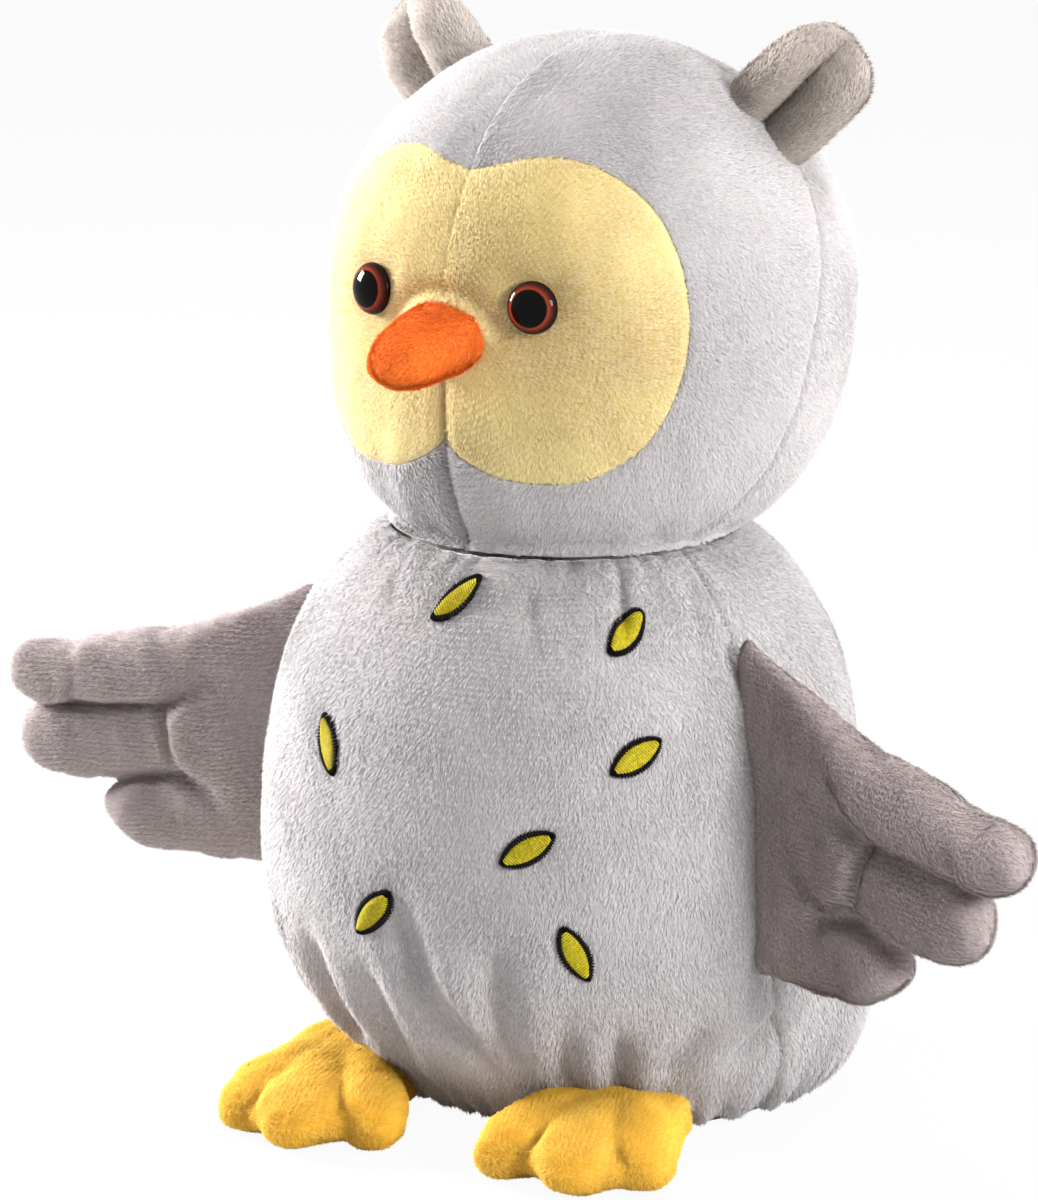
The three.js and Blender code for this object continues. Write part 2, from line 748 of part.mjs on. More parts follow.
function footForm(name, inset) {
  const side = sides[name];
  const splay = radians(footSplayAngles[name]);
  const heel = new THREE.Vector3(footOutward[name], footLength - toeTipForward[name], footHalfHeight - floorFlat);
  const outward = new THREE.Vector3(Math.cos(splay), Math.sin(splay), 0);
  const forward = new THREE.Vector3(Math.sin(splay), -Math.cos(splay), 0);
  const place = ([across, ahead], shorten) => {
    const point = heel.clone().addScaledVector(outward, across * footLength);
    point.addScaledVector(forward, ahead * footLength - shorten);
    return point.setX(side * point.x);
  };
  const up = new THREE.Vector3(0, 0, 1);
  const parts = [instepShares, ...toeShares].map((shares) => {
    const [from, to] = [place(shares.from, -inset), place(shares.to, inset)];
    const across = to.clone().sub(from).cross(up).normalize();
    const halfAcross = (s) => footLength * THREE.MathUtils.lerp(shares.root, shares.tip, s) - inset;
    const halfThrough = (s) => footHalfHeight * THREE.MathUtils.lerp(1, 0.92, s) - inset;
    return taperedForm(from, to, across, up, halfAcross, halfThrough, 8);
  });
  return joined(parts);
}

const bodyRoom = solidOf(bodyGrown);
for (const name of Object.keys(sides)) {
  const inside = footForm(name, plushThickness).intersect(above(plushThickness));
  const skin = footForm(name, 0).intersect(above(0)).subtract(inside).subtract(bodyRoom);
  const split = new THREE.Vector3(0, 0, footHalfHeight);
  const [upper, sole] = layersOf(skin, split, new THREE.Vector3(0, 0, 1));
  addPlush(`foot_upper_${name}`, upper, colours.goldPlush);
  addPlush(`foot_sole_${name}`, sole, colours.goldPlush);
  const filling = footForm(name, plushThickness + seamGap).intersect(above(plushThickness + seamGap));
  addPiece(`foot_filling_${name}`, filling.subtract(bodyRoom), colours.filling, 1);
}

export default owl;
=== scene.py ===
import math

import bmesh
import bpy
import numpy as np
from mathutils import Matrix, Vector


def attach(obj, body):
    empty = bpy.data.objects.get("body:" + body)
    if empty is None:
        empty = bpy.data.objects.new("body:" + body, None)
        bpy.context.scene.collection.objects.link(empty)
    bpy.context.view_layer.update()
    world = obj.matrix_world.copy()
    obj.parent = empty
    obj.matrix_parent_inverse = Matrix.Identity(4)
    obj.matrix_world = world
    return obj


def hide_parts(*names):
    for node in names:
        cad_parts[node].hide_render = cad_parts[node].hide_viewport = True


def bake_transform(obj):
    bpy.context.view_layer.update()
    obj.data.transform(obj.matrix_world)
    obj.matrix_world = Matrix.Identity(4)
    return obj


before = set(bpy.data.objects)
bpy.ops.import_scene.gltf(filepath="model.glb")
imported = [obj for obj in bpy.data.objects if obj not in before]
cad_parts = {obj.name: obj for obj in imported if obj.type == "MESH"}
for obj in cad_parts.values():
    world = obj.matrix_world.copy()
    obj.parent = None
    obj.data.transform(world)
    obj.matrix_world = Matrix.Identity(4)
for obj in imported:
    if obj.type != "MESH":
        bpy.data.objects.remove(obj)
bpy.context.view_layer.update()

# ---- Camera ----
# A long lens stands a little above the toy and to its left, as in the photograph.

CAMERA_AZIMUTH = 34
CAMERA_ELEVATION = 13.7
CAMERA_DISTANCE = 1.2
CAMERA_LENS = 153
CAMERA_SENSOR = 36
CAMERA_AIM = Vector((-0.0093, -0.0262, 0.1201))


def from_front(azimuth, elevation):
    """The direction at an azimuth, counted from the toy's front, and an elevation, in degrees."""
    turn, rise = math.radians(azimuth), math.radians(elevation)
    return math.sin(turn) * math.cos(rise), -math.cos(turn) * math.cos(rise), math.sin(rise)


def aim(thing, way, distance):
    """Sets a camera or a lamp at a distance from the toy's middle, turned towards it."""
    away = Vector(way)
    thing.location = CAMERA_AIM + away * distance
    thing.rotation_mode = "QUATERNION"
    thing.rotation_quaternion = away.to_track_quat("Z", "Y")


camera = bpy.data.objects.new("camera", bpy.data.cameras.new("camera"))
bpy.context.scene.collection.objects.link(camera)
camera.data.lens = CAMERA_LENS
camera.data.sensor_width = CAMERA_SENSOR
aim(camera, from_front(CAMERA_AZIMUTH, CAMERA_ELEVATION), CAMERA_DISTANCE)
bpy.context.scene.camera = camera
bpy.context.scene.view_settings.view_transform = "Standard"

# ---- Floor, background and light ----
# A white table top and background, and soft boxes on both sides, overhead and behind, as for a
# catalogue photograph. The floor keeps the toy's soft shadow.


def linear(hex_colour):
    """An sRGB hex colour as the linear colour that shaders take."""
    channels = [(hex_colour >> shift & 255) / 255 for shift in (16, 8, 0)]
    return [c / 12.92 if c <= 0.04045 else ((c + 0.055) / 1.055) ** 2.4 for c in channels] + [1.0]


def add_node(tree, kind, inputs=(), **settings):
    """A node with its settings. Each input takes a value or another node's output."""
    node = tree.nodes.new(f"ShaderNode{kind}")
    for key, value in settings.items():
        setattr(node, key, value)
    for key, value in dict(inputs).items():
        if isinstance(value, bpy.types.NodeSocket):
            tree.links.new(value, node.inputs[key])
        else:
            node.inputs[key].default_value = value
    return node


def new_material(name):
    """A material without nodes, and its node tree."""
    material = bpy.data.materials.new(name)
    material.use_nodes = True
    material.node_tree.nodes.clear()
    return material, material.node_tree


def white_to_view(tree):
    """1 for the rays that see the background directly, in a reflection or through glass."""
    path = add_node(tree, "LightPath").outputs
    seen = path["Is Camera Ray"]
    for ray in ("Is Glossy Ray", "Is Transmission Ray"):
        seen = add_node(tree, "Math", {0: seen, 1: path[ray]}, operation="MAXIMUM").outputs[0]
    return seen


FLOOR_SIZE = 6.0
FLOOR_WHITE = 0xC6C6C6
FLOOR_GLOW = 0.95
ROOM_LIGHT = 0.12

world = bpy.data.worlds.new("studio")
bpy.context.scene.world = world
world.use_nodes = True
tree = world.node_tree
tree.nodes.clear()
room = add_node(tree, "Math", {0: white_to_view(tree), 1: ROOM_LIGHT}, operation="MAXIMUM")
backdrop = add_node(tree, "Background", {"Color": (1, 1, 1, 1), "Strength": room.outputs[0]})
add_node(tree, "OutputWorld", {"Surface": backdrop.outputs[0]})

bm = bmesh.new()
bmesh.ops.create_grid(bm, x_segments=1, y_segments=1, size=FLOOR_SIZE / 2)
floor = bpy.data.objects.new("floor", bpy.data.meshes.new("floor"))
bm.to_mesh(floor.data)
bm.free()
bpy.context.scene.collection.objects.link(floor)
table_top, tree = new_material("white_table_top")
matt = add_node(tree, "BsdfDiffuse", {"Color": linear(FLOOR_WHITE)})
glow = add_node(tree, "Emission", {"Color": (1, 1, 1, 1), "Strength": 1})
share = add_node(tree, "Math", {0: white_to_view(tree), 1: FLOOR_GLOW}, operation="MULTIPLY")
mix = add_node(tree, "MixShader", {0: share.outputs[0], 1: matt.outputs[0], 2: glow.outputs[0]})
add_node(tree, "OutputMaterial", {"Surface": mix.outputs[0]})
floor.data.materials.append(table_top)

# Name, azimuth, elevation, distance, width and power of each soft box.
SOFT_BOXES = [
    ("left_box", -77, 18, 1.1, 0.34, 35.0),
    ("right_box", 80, 20, 1.1, 0.34, 13.0),
    ("rim_box", 130, 24, 1.1, 0.6, 8.5),
    ("top_box", 30, 84, 1.2, 0.9, 10.0),
    ("back_box", 205, 45, 1.2, 1.2, 9.0),
]
for name, azimuth, elevation, distance, width, power in SOFT_BOXES:
    lamp = bpy.data.objects.new(name, bpy.data.lights.new(name, "AREA"))
    lamp.data.size = width
    lamp.data.energy = power
    aim(lamp, from_front(azimuth, elevation), distance)
    lamp.visible_glossy = name in ("left_box", "right_box")
    bpy.context.scene.collection.objects.link(lamp)

# ---- Body ----
# Three panels of grey plush, a front and two backs, sewn side to side and filled. The front is
# gathered where the feet are sewn in under the belly. A round base panel closes the bottom.

BODY_HEIGHT = 0.140
BODY_RADIUS = 0.0715
BELLY_FORWARD = 0.021
SIDE_SEAM_ANGLE = 74
CLOTH_THICKNESS = 0.0012
BODY_BOTTOM = 0.0019
SEAM_WIDTH = 0.003
BODY_PROFILE = [
    (0, 0.69), (0.03, 0.785), (0.08, 0.865), (0.16, 0.935), (0.27, 0.985), (0.4, 1), (0.57, 0.985),
    (0.7, 0.95), (0.79, 0.9), (0.87, 0.825), (0.93, 0.74), (0.97, 0.66), (1, 0.58),
]
BODY_LEAN = [(0, 0), (0.08, 0.15), (0.2, 0.5), (0.33, 0.85), (0.5, 1), (1, 1)]

# Flecks: the angle and height of each one's middle and the turn of its long side, in degrees and metres.
FLECK_LENGTH = 0.0132
FLECK_WIDTH = 0.0056
FLECKS = [
    (5.5, 0.1316, 35), (48, 0.126, 32), (47.5, 0.1002, 28), (-18.5, 0.0966, -62), (27, 0.0799, 30),
    (-4, 0.0609, 50), (35, 0.0554, -70),
]

# Creases of the front panel: angle and height of both ends, half width and depth, in degrees and mm.
BODY_CREASES = [
    (1, 66, 9, 26, 4.2, 4.2),
    (9, 42, 13, 20, 2.8, 2.8),
    (20, 56, 18, 22, 4.4, 4.0),
    (31, 36, 27, 17, 3.4, 3.0),
    (41, 34, 36, 16, 3.4, 3.5),
    (46, 20, 58, 34, 3.4, 3.2),
    (62, 22, 76, 34, 3.2, 3.0),
    (-7, 46, -9, 20, 3.4, 2.8),
    (-24, 50, -23, 20, 4.2, 3.8),
    (-36, 34, -36, 16, 3.4, 3.0),
    (-44, 22, -56, 38, 3.2, 3.0),
    (-62, 26, -74, 36, 3.2, 2.8),
    (50, 139, 47, 126, 1.6, 1.8),
    (8, 131, 34, 133, 2.6, 1.2),
    (-52, 139, -50, 130, 1.6, 1.2),
    (-20, 136, -12, 128, 2.2, 0.9),
    (24, 136, 27, 124, 2.2, 1.0),
    (70, 136, 66, 122, 2.6, 1.2),
]


def smooth_value(rows, x):
    """The height at x of a smooth curve through rows of (x, y)."""
    xs, ys = np.array(rows, float).T
    x = np.clip(x, xs[0], xs[-1])
    before = np.maximum(np.arange(len(xs)) - 1, 0)
    after = np.minimum(np.arange(len(xs)) + 1, len(xs) - 1)
    slopes = (ys[after] - ys[before]) / (xs[after] - xs[before])
    i = np.clip(np.searchsorted(xs, x) - 1, 0, len(xs) - 2)
    span = xs[i + 1] - xs[i]
    t = (x - xs[i]) / span
    rise = t * t * (3 - 2 * t)
    start = t * (1 - t) ** 2 * span * slopes[i]
    end = t * t * (1 - t) * span * slopes[i + 1]
    return ys[i] + rise * (ys[i + 1] - ys[i]) + start - end


def lumps(points, wave, seed):
    """Uneven stuffing: a smooth random height from about -1 to 1, with waves of this length."""
    rng = np.random.default_rng(seed)
    total = 0
    for _ in range(7):
        way = rng.normal(size=3)
        way *= 2 * math.pi / wave / np.linalg.norm(way) * rng.uniform(0.7, 1.4)
        total = total + np.sin(points @ way + rng.uniform(0, 2 * math.pi))
    return total / 3.5


def rolled_in(distance, depth, width):
    """How far cloth sinks towards a seam at this distance, on a quarter round."""
    left = np.clip(1 - distance / width, 0, 1)
    return -depth * (1 - np.sqrt(1 - left**2 * 0.98))


def crease(x, y, x1, y1, x2, y2, width, depth):
    """The dip along a line, with the cloth pushed up a little on both sides."""
    along = np.array((x2 - x1, y2 - y1))
    share = np.clip(((x - x1) * along[0] + (y - y1) * along[1]) / (along @ along), 0, 1)
    gap = np.hypot(x - x1 - share * along[0], y - y1 - share * along[1])
    fade = 1 - 0.75 * np.abs(2 * share - 1) ** 3
    dip = np.exp(-((gap / width) ** 2)) - 0.22 * np.exp(-(((gap - 2.2 * width) / (1.2 * width)) ** 2))
    return -depth * fade * dip


def turned(x, y, degrees):
    """A flat place counted along directions turned by this angle."""
    cos, sin = math.cos(math.radians(degrees)), math.sin(math.radians(degrees))
    return x * cos + y * sin, y * cos - x * sin


def body_place(angle, height, lift):
    """A point of the body: its angle from the front, its height, and how far it stands off the form."""
    share = height / BODY_HEIGHT
    step = 0.01
    radius = BODY_RADIUS * smooth_value(BODY_PROFILE, share)
    change = smooth_value(BODY_PROFILE, share + step) - smooth_value(BODY_PROFILE, share - step)
    slope = BODY_RADIUS * change / (2 * step * BODY_HEIGHT)
    level = 1 / np.hypot(1, slope)
    turn = np.radians(angle)
    reach = radius + lift * level
    centre = -BELLY_FORWARD * smooth_value(BODY_LEAN, share)
    return np.stack((reach * np.sin(turn), centre - reach * np.cos(turn), height - lift * slope * level), -1)


def body_depth(points):
    """How deep points lie under the body's form."""
    share = np.clip(points[:, 2] / BODY_HEIGHT, 0, 1)
    centre = -BELLY_FORWARD * smooth_value(BODY_LEAN, share)
    radius = BODY_RADIUS * smooth_value(BODY_PROFILE, share)
    over = np.maximum(points[:, 2] - BODY_HEIGHT, 0)
    return radius - np.hypot(points[:, 0], points[:, 1] - centre) - over


def tighter_at_ends(share):
    return share - np.sin(2 * math.pi * share) / (2.2 * 2 * math.pi)


def body_relief(angle, height):
    """How far the body's cloth stands off its plain form, in metres."""
    arc = np.radians(angle) * BODY_RADIUS * 1000
    upright = height * 1000
    relief = np.zeros_like(arc)
    for angle_1, height_1, angle_2, *rest in BODY_CREASES:
        x1, x2 = (math.radians(a) * BODY_RADIUS * 1000 for a in (angle_1, angle_2))
        relief = relief + crease(arc, upright, x1, height_1, x2, *rest)
    gathers = np.sin(arc * 0.62 + 2.2 * np.sin(arc * 0.11)) * np.exp(-((upright - 4) / 9) ** 2)
    neck_gathers = np.sin(arc * 0.5 + 1.7 * np.sin(arc * 0.17)) * np.exp(-((140 - upright) / 6))
    relief = relief + 0.9 * gathers + 0.35 * neck_gathers
    for fleck_angle, fleck_height, fleck_turn in FLECKS:
        off = arc - math.radians(fleck_angle) * BODY_RADIUS * 1000
        along, across = turned(off, upright - fleck_height * 1000, fleck_turn)
        relief = relief - 0.8 * np.exp(-((along / 8.5) ** 2) - (across / 4.5) ** 2)
    points = body_place(angle, height, 0)
    relief = relief + 0.45 * lumps(points, 0.045, 3) + 0.2 * lumps(points, 0.014, 4)
    relief = relief + 1000 * rolled_in(BODY_HEIGHT - height, 0.001, SEAM_WIDTH)
    relief = relief + 1000 * rolled_in(height - BODY_BOTTOM, 0.0012, SEAM_WIDTH)
    return relief / 1000


def get_places(verts):
    return np.array([vert.co for vert in verts])


def set_places(verts, places):
    for vert, place in zip(verts, places):
        vert.co = place


def grid_mesh(columns, rows, place):
    """A bmesh grid whose shares across and up are laid out in space by place."""
    bm = bmesh.new()
    bm.loops.layers.uv.new("OFBake")
    bmesh.ops.create_grid(bm, x_segments=columns, y_segments=rows, size=0.5, calc_uvs=True)
    shares = get_places(bm.verts) + 0.5
    set_places(bm.verts, place(shares[:, 0], shares[:, 1]))
    bm.normal_update()
    return bm


def finished(name, bm, body, slot, replaced, *materials):
    """Makes a bmesh a smooth-shaded piece that moves with a body and stands for a CAD node."""
    piece = bpy.data.objects.new(name, bpy.data.meshes.new(name))
    bm.to_mesh(piece.data)
    bm.free()
    bpy.context.scene.collection.objects.link(piece)
    piece.data.shade_smooth()
    for material in materials:
        piece.data.materials.append(material)
    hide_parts(replaced)
    if body:
        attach(piece, body)
    return piece


def mesh_arrays(mesh):
    """Corner places and normals of a mesh's triangles."""
    mesh.calc_loop_triangles()
    corners = np.empty(len(mesh.loop_triangles) * 3, np.int32)
    mesh.loop_triangles.foreach_get("vertices", corners)
    places = np.empty(len(mesh.vertices) * 3, np.float32)
    mesh.vertices.foreach_get("co", places)
    normals = np.empty(len(mesh.vertices) * 3, np.float32)
    mesh.vertex_normals.foreach_get("vector", normals)
    corners = corners.reshape(-1, 3)
    return places.reshape(-1, 3).astype(float)[corners], normals.reshape(-1, 3).astype(float)[corners]


def unit(vectors):
    return vectors / np.maximum(np.linalg.norm(vectors, axis=-1, keepdims=True), 1e-12)


PILE_LENGTH = 0.0013
PILE_WIDTH = 0.00042
PILE_LEAN = 66
ROW_PITCH = 0.00125
ABOVE_FLOOR = 0.0001
# Per-point tone for the materials: random, with painted shade and sheen on the pile, and a painted highlight
# on stitches.
TONE_AND_PAINTED_LIGHT = "tone_and_painted_light"


def grow_pile(bm, locks, nap, seed, length=PILE_LENGTH, rows=(0, 0, 1), ribbed=1.0, bare=None):
    """Covers the outer faces of a sheet with locks of pile that lean along the nap.

    Each lock is one narrow triangle. Its tone tells the plush material how light its fibres are: a
    random share, with painted shade that darkens the root and the locks between the knitted rows, and
    painted sheen that lightens the tip. The rows of the knitted ground lift the pile in waves. The nap
    and the way across the rows are each one direction, or a function of the points.
    """
    mesh = bpy.data.meshes.new("pile_ground")
    bm.to_mesh(mesh)
    places, normals = mesh_arrays(mesh)
    bpy.data.meshes.remove(mesh)
    rng = np.random.default_rng(seed)
    sides = np.cross(places[:, 1] - places[:, 0], places[:, 2] - places[:, 0])
    areas = np.linalg.norm(sides, axis=1)
    chosen = rng.choice(len(areas), locks, p=areas / areas.sum())
    a, b = np.sqrt(rng.random(locks)), rng.random(locks)
    weights = np.stack((1 - a, a * (1 - b), a * b), -1)[..., None]
    root = (places[chosen] * weights).sum(1)
    out = unit((normals[chosen] * weights).sum(1))
    if bare is not None:
        kept = ~bare(root)
        root, out = root[kept], out[kept]
    count = len(root)
    way = nap(root) if callable(nap) else np.array(nap)
    way = unit(way - out * (way * out).sum(-1, keepdims=True))
    side = np.cross(way, out)
    swirl = (0.35 * lumps(root, 0.03, seed + 1) + rng.normal(0, 0.3, count))[:, None]
    way, side = way * np.cos(swirl) + side * np.sin(swirl), side * np.cos(swirl) - way * np.sin(swirl)
    row = rows(root) if callable(rows) else root @ np.array(rows, float)
    wave = ribbed * np.cos(2 * math.pi * (row + 0.0006 * lumps(root, 0.02, seed + 3)) / ROW_PITCH)
    lean = PILE_LEAN + rng.normal(0, 7, count) + 6 * lumps(root, 0.05, seed + 2) - 8 * wave
    lean = np.radians(lean)[:, None]
    reach = length * (rng.uniform(0.7, 1.2, count) + 0.15 * wave)[:, None]
    tip = root + reach * (np.cos(lean) * out + np.sin(lean) * way)
    half = side * PILE_WIDTH / 2 * rng.uniform(0.7, 1.2, count)[:, None]
    corners = np.stack((root - half, root + half, tip), 1)
    corners[..., 2] = np.maximum(corners[..., 2], ABOVE_FLOOR)
    # Painted shade and sheen: roots darker than tips, and locks between the lifted rows darker.
    tone = rng.random(count) * 0.3 + 0.1 * wave
    tones = np.stack((tone, tone, 0.3 + 2 * tone), 1)
    facing = unit(out * (0.7 + np.sin(lean)) - way * np.cos(lean))
    return corners.reshape(-1, 3), tones.ravel(), np.repeat(facing, 3, axis=0)


def with_pile(piece, grown):
    """Adds grown locks to a piece's mesh, and tones to both. Locks are shaded like the cloth."""
    corners, tones, facing = grown
    mesh = piece.data
    ground_facing = np.empty(len(mesh.vertices) * 3, np.float32)
    mesh.vertex_normals.foreach_get("vector", ground_facing)
    ground = mesh.attributes.new(TONE_AND_PAINTED_LIGHT, "FLOAT", "POINT")
    ground.data.foreach_set("value", np.full(len(mesh.vertices), 0.3, np.float32))
    pile = bpy.data.meshes.new("pile")
    pile.vertices.add(len(corners))
    pile.vertices.foreach_set("co", corners.astype(np.float32).ravel())
    pile.loops.add(len(corners))
    pile.loops.foreach_set("vertex_index", np.arange(len(corners), dtype=np.int32))
    pile.polygons.add(len(corners) // 3)
    pile.polygons.foreach_set("loop_start", np.arange(0, len(corners), 3, dtype=np.int32))
    pile.update(calc_edges=True)
    pile.attributes.new(TONE_AND_PAINTED_LIGHT, "FLOAT", "POINT").data.foreach_set("value", tones.astype(np.float32))
    pile.materials.append(mesh.materials[0])
    locks = bpy.data.objects.new("pile", pile)
    bpy.context.scene.collection.objects.link(locks)
    with bpy.context.temp_override(
        active_object=piece, selected_editable_objects=[piece, locks], selected_objects=[piece, locks]
    ):
        bpy.ops.object.join()
    bpy.data.meshes.remove(pile)
    mesh.shade_smooth()
    mesh.normals_split_custom_set_from_vertices(np.concatenate((ground_facing.reshape(-1, 3), facing)))


def plush_piece(name, bm, body, slot, replaced, material, inner=0, **pile):
    """A piece of plush from its outer face: grows its pile, and adds an inner face if it has one."""
    grown = grow_pile(bm, **pile)
    if inner:
        bmesh.ops.solidify(bm, geom=bm.faces, thickness=inner)
    piece = finished(name, bm, body, slot, replaced, material)
    with_pile(piece, grown)
    return piece


# Short brushed polyester pile on a knitted ground: dull, soft, with a pale bloom along the edges
# where the light catches fibre tips. The fibres are painted darker at the root, as painted shade
# between the locks, and lighter at the tip, as painted sheen.


def plush(name, shaded_root_colour, sheen_tip_colour, nap_sheen_colour):
    material, tree = new_material(name)
    place = add_node(tree, "TexCoord").outputs["Object"]
    # Painted shade and sheen: a lock's tone runs from its dark root colour to its pale tip colour.
    tone = add_node(tree, "Attribute", attribute_name=TONE_AND_PAINTED_LIGHT).outputs["Fac"]
    ends = {6: linear(shaded_root_colour), 7: linear(sheen_tip_colour)}
    fibre = add_node(tree, "Mix", {0: tone, **ends}, data_type="RGBA").outputs[2]
    # Painted sheen: patches about 25 mm across where the pile was stroked another way and catches the light
    # differently.
    nap_sheen_patches = add_node(tree, "TexNoise", {"Vector": place, "Scale": 40, "Detail": 3})
    limits = {"From Min": 0.35, "From Max": 0.75, "To Max": 0.6}
    spread = add_node(tree, "MapRange", {"Value": nap_sheen_patches.outputs["Fac"], **limits}).outputs[0]
    pair = {6: fibre, 7: linear(nap_sheen_colour)}
    colour = add_node(tree, "Mix", {0: spread, **pair}, data_type="RGBA").outputs[2]
    # Single fibres, under 1 mm apart.
    fibres = add_node(tree, "TexNoise", {"Vector": place, "Scale": 1400, "Detail": 2})
    bump = add_node(tree, "Bump", {"Height": fibres.outputs["Fac"], "Strength": 0.25, "Distance": 0.0004})
    surface = {
        "Base Color": colour, "Normal": bump.outputs[0], "Roughness": 0.9, "Specular IOR Level": 0.15,
        "Sheen Weight": 0.4, "Sheen Roughness": 0.35, "Sheen Tint": linear(sheen_tip_colour),
    }
    cloth = add_node(tree, "BsdfPrincipled", surface)
    # Light also comes through the thin fibre tips.
    through = add_node(tree, "BsdfTranslucent", {"Color": colour})
    thin = add_node(tree, "Math", {0: tone, 1: 0.55}, operation="MULTIPLY")
    mix = add_node(tree, "MixShader", {0: thin.outputs[0], 1: cloth.outputs[0], 2: through.outputs[0]})
    add_node(tree, "OutputMaterial", {"Surface": mix.outputs[0]})
    return material


grey_plush = plush("grey_polyester_plush", 0x949091, 0xF4F0F0, 0xD2CDCE)


def body_panel(name, start, end, columns, rows, locks, seed, bare=None):
    """One panel from seam to seam, its edges rolled in. Start and end are degrees from the front."""

    def place(across, up):
        angle = start + (end - start) * tighter_at_ends(across)
        height = BODY_BOTTOM + (BODY_HEIGHT - BODY_BOTTOM) * tighter_at_ends(up)
        edge = np.minimum(angle - start, end - angle)
        lift = body_relief(angle, height) + rolled_in(np.radians(edge) * BODY_RADIUS, 0.0016, SEAM_WIDTH)
        return body_place(angle, height, lift)

    bm = grid_mesh(columns, rows, place)
    pile = {"locks": locks, "nap": (0, 0, -1), "seed": seed, "bare": bare}
    plush_piece(f"{name}_panel", bm, "body", "grey_plush", name, grey_plush, CLOTH_THICKNESS, **pile)


def under_fleck(points):
    """Whether points lie under the embroidery, where no pile shows."""
    angle = np.degrees(np.arctan2(points[:, 0], -(points[:, 1] + BELLY_FORWARD)))
    covered = np.zeros(len(points), bool)
    for fleck_angle, fleck_height, fleck_turn in FLECKS:
        x = np.radians(angle - fleck_angle) * BODY_RADIUS
        along, across = turned(x, points[:, 2] - fleck_height, fleck_turn)
        along, across = along / (FLECK_LENGTH / 2), across / (FLECK_WIDTH / 2)
        covered |= (np.abs(across) < 0.98 * (1 - along**2)) & (np.abs(along) < 1)
    return covered


body_panel("body_front", -SIDE_SEAM_ANGLE, SIDE_SEAM_ANGLE, 120, 96, 150000, 11, under_fleck)
body_panel("body_back_left", SIDE_SEAM_ANGLE, 180, 70, 70, 120000, 12)
body_panel("body_back_right", 180, 360 - SIDE_SEAM_ANGLE, 70, 70, 120000, 13)

BASE_RADIUS = 0.0486
BASE_HEIGHT = 0.0002
bm = bmesh.new()
bm.loops.layers.uv.new("OFBake")
bmesh.ops.create_circle(bm, cap_ends=True, segments=96, radius=BASE_RADIUS, calc_uvs=True)
bmesh.ops.reverse_faces(bm, faces=bm.faces)
bmesh.ops.solidify(bm, geom=bm.faces, thickness=CLOTH_THICKNESS)
bmesh.ops.translate(bm, verts=bm.verts, vec=(0, 0, BASE_HEIGHT))
finished("base_panel", bm, "body", "grey_plush", "body_base", grey_plush)

# ---- Fillings and pellet bag ----
# Loose polyester fibre fills each form to its cloth, and a cotton bag of pellets lies on the base
# panel to keep the toy upright. None of it shows from outside.

# White crimped fibre: dull and cloudy, with soft clumps about 6 mm across.
fibre_fill, tree = new_material("loose_polyester_fibre")
place = add_node(tree, "TexCoord").outputs["Object"]
clumps = add_node(tree, "TexNoise", {"Vector": place, "Scale": 160, "Detail": 5}).outputs["Fac"]
bump = add_node(tree, "Bump", {"Height": clumps, "Distance": 0.002})
whites = {6: linear(0xDAD8D2), 7: linear(0xFAF9F6)}
colour = add_node(tree, "Mix", {0: clumps, **whites}, data_type="RGBA").outputs[2]
surface = {"Base Color": colour, "Normal": bump.outputs[0], "Roughness": 1.0}
fluff = add_node(tree, "BsdfPrincipled", surface)
add_node(tree, "OutputMaterial", {"Surface": fluff.outputs[0]})

# How far a filling lies under the form of its cloth.
UNDER_CLOTH = 0.0026


def ball_mesh(segments, rings, place):
    """A bmesh ball whose points, given on the unit ball, are laid out in space by place."""
    bm = bmesh.new()
    bm.loops.layers.uv.new("OFBake")
    bmesh.ops.create_uvsphere(bm, u_segments=segments, v_segments=rings, radius=1, calc_uvs=True)
    set_places(bm.verts, place(get_places(bm.verts)))
    if bm.calc_volume(signed=True) < 0:
        bmesh.ops.reverse_faces(bm, faces=bm.faces)
    return bm


def add_filling(name, bm, body):
    piece = finished(f"{name}_fibre", bm, body, "filling", name, fibre_fill)
    return piece


def body_inside(points):
    """The unit ball's middle follows the body's wall, and its caps close it flat."""
    share = np.arccos(np.clip(-points[:, 2], -1, 1)) / math.pi
    cap = 0.12
    bottom, top = 0.0024, BODY_HEIGHT - 0.0004
    height = bottom + (top - bottom) * np.clip((share - cap) / (1 - 2 * cap), 0, 1)
    angle = np.degrees(np.arctan2(points[:, 0], -points[:, 1]))
    dips = np.minimum(body_relief(angle, height), 0)
    wall = body_place(angle, height, 1.1 * dips - UNDER_CLOTH)
    centre = -BELLY_FORWARD * smooth_value(BODY_LEAN, height / BODY_HEIGHT)
    middle = np.stack((0 * height, centre, height), -1)
    open_share = np.clip(np.minimum(share, 1 - share) / cap, 0, 1)[:, None]
    return middle + (wall - middle) * open_share


add_filling("body_filling", ball_mesh(96, 48, body_inside), "body")

PELLET_RADIUS = 0.0265
PELLET_HEIGHT = 0.0135
PELLET_FLOOR = 0.0022


def bag_shape(points):
    """A slack round bag, flat underneath and lumpy with the pellets in it."""
    flat = np.sign(points) * np.abs(points) ** np.array((1, 1, 0.7))
    lifted = flat * np.array((PELLET_RADIUS, PELLET_RADIUS, PELLET_HEIGHT / 2))
    lifted = lifted * (1 + 0.02 * lumps(points, 0.5, 21)[:, None])
    return lifted + np.array((0, 0, PELLET_FLOOR + PELLET_HEIGHT / 2))


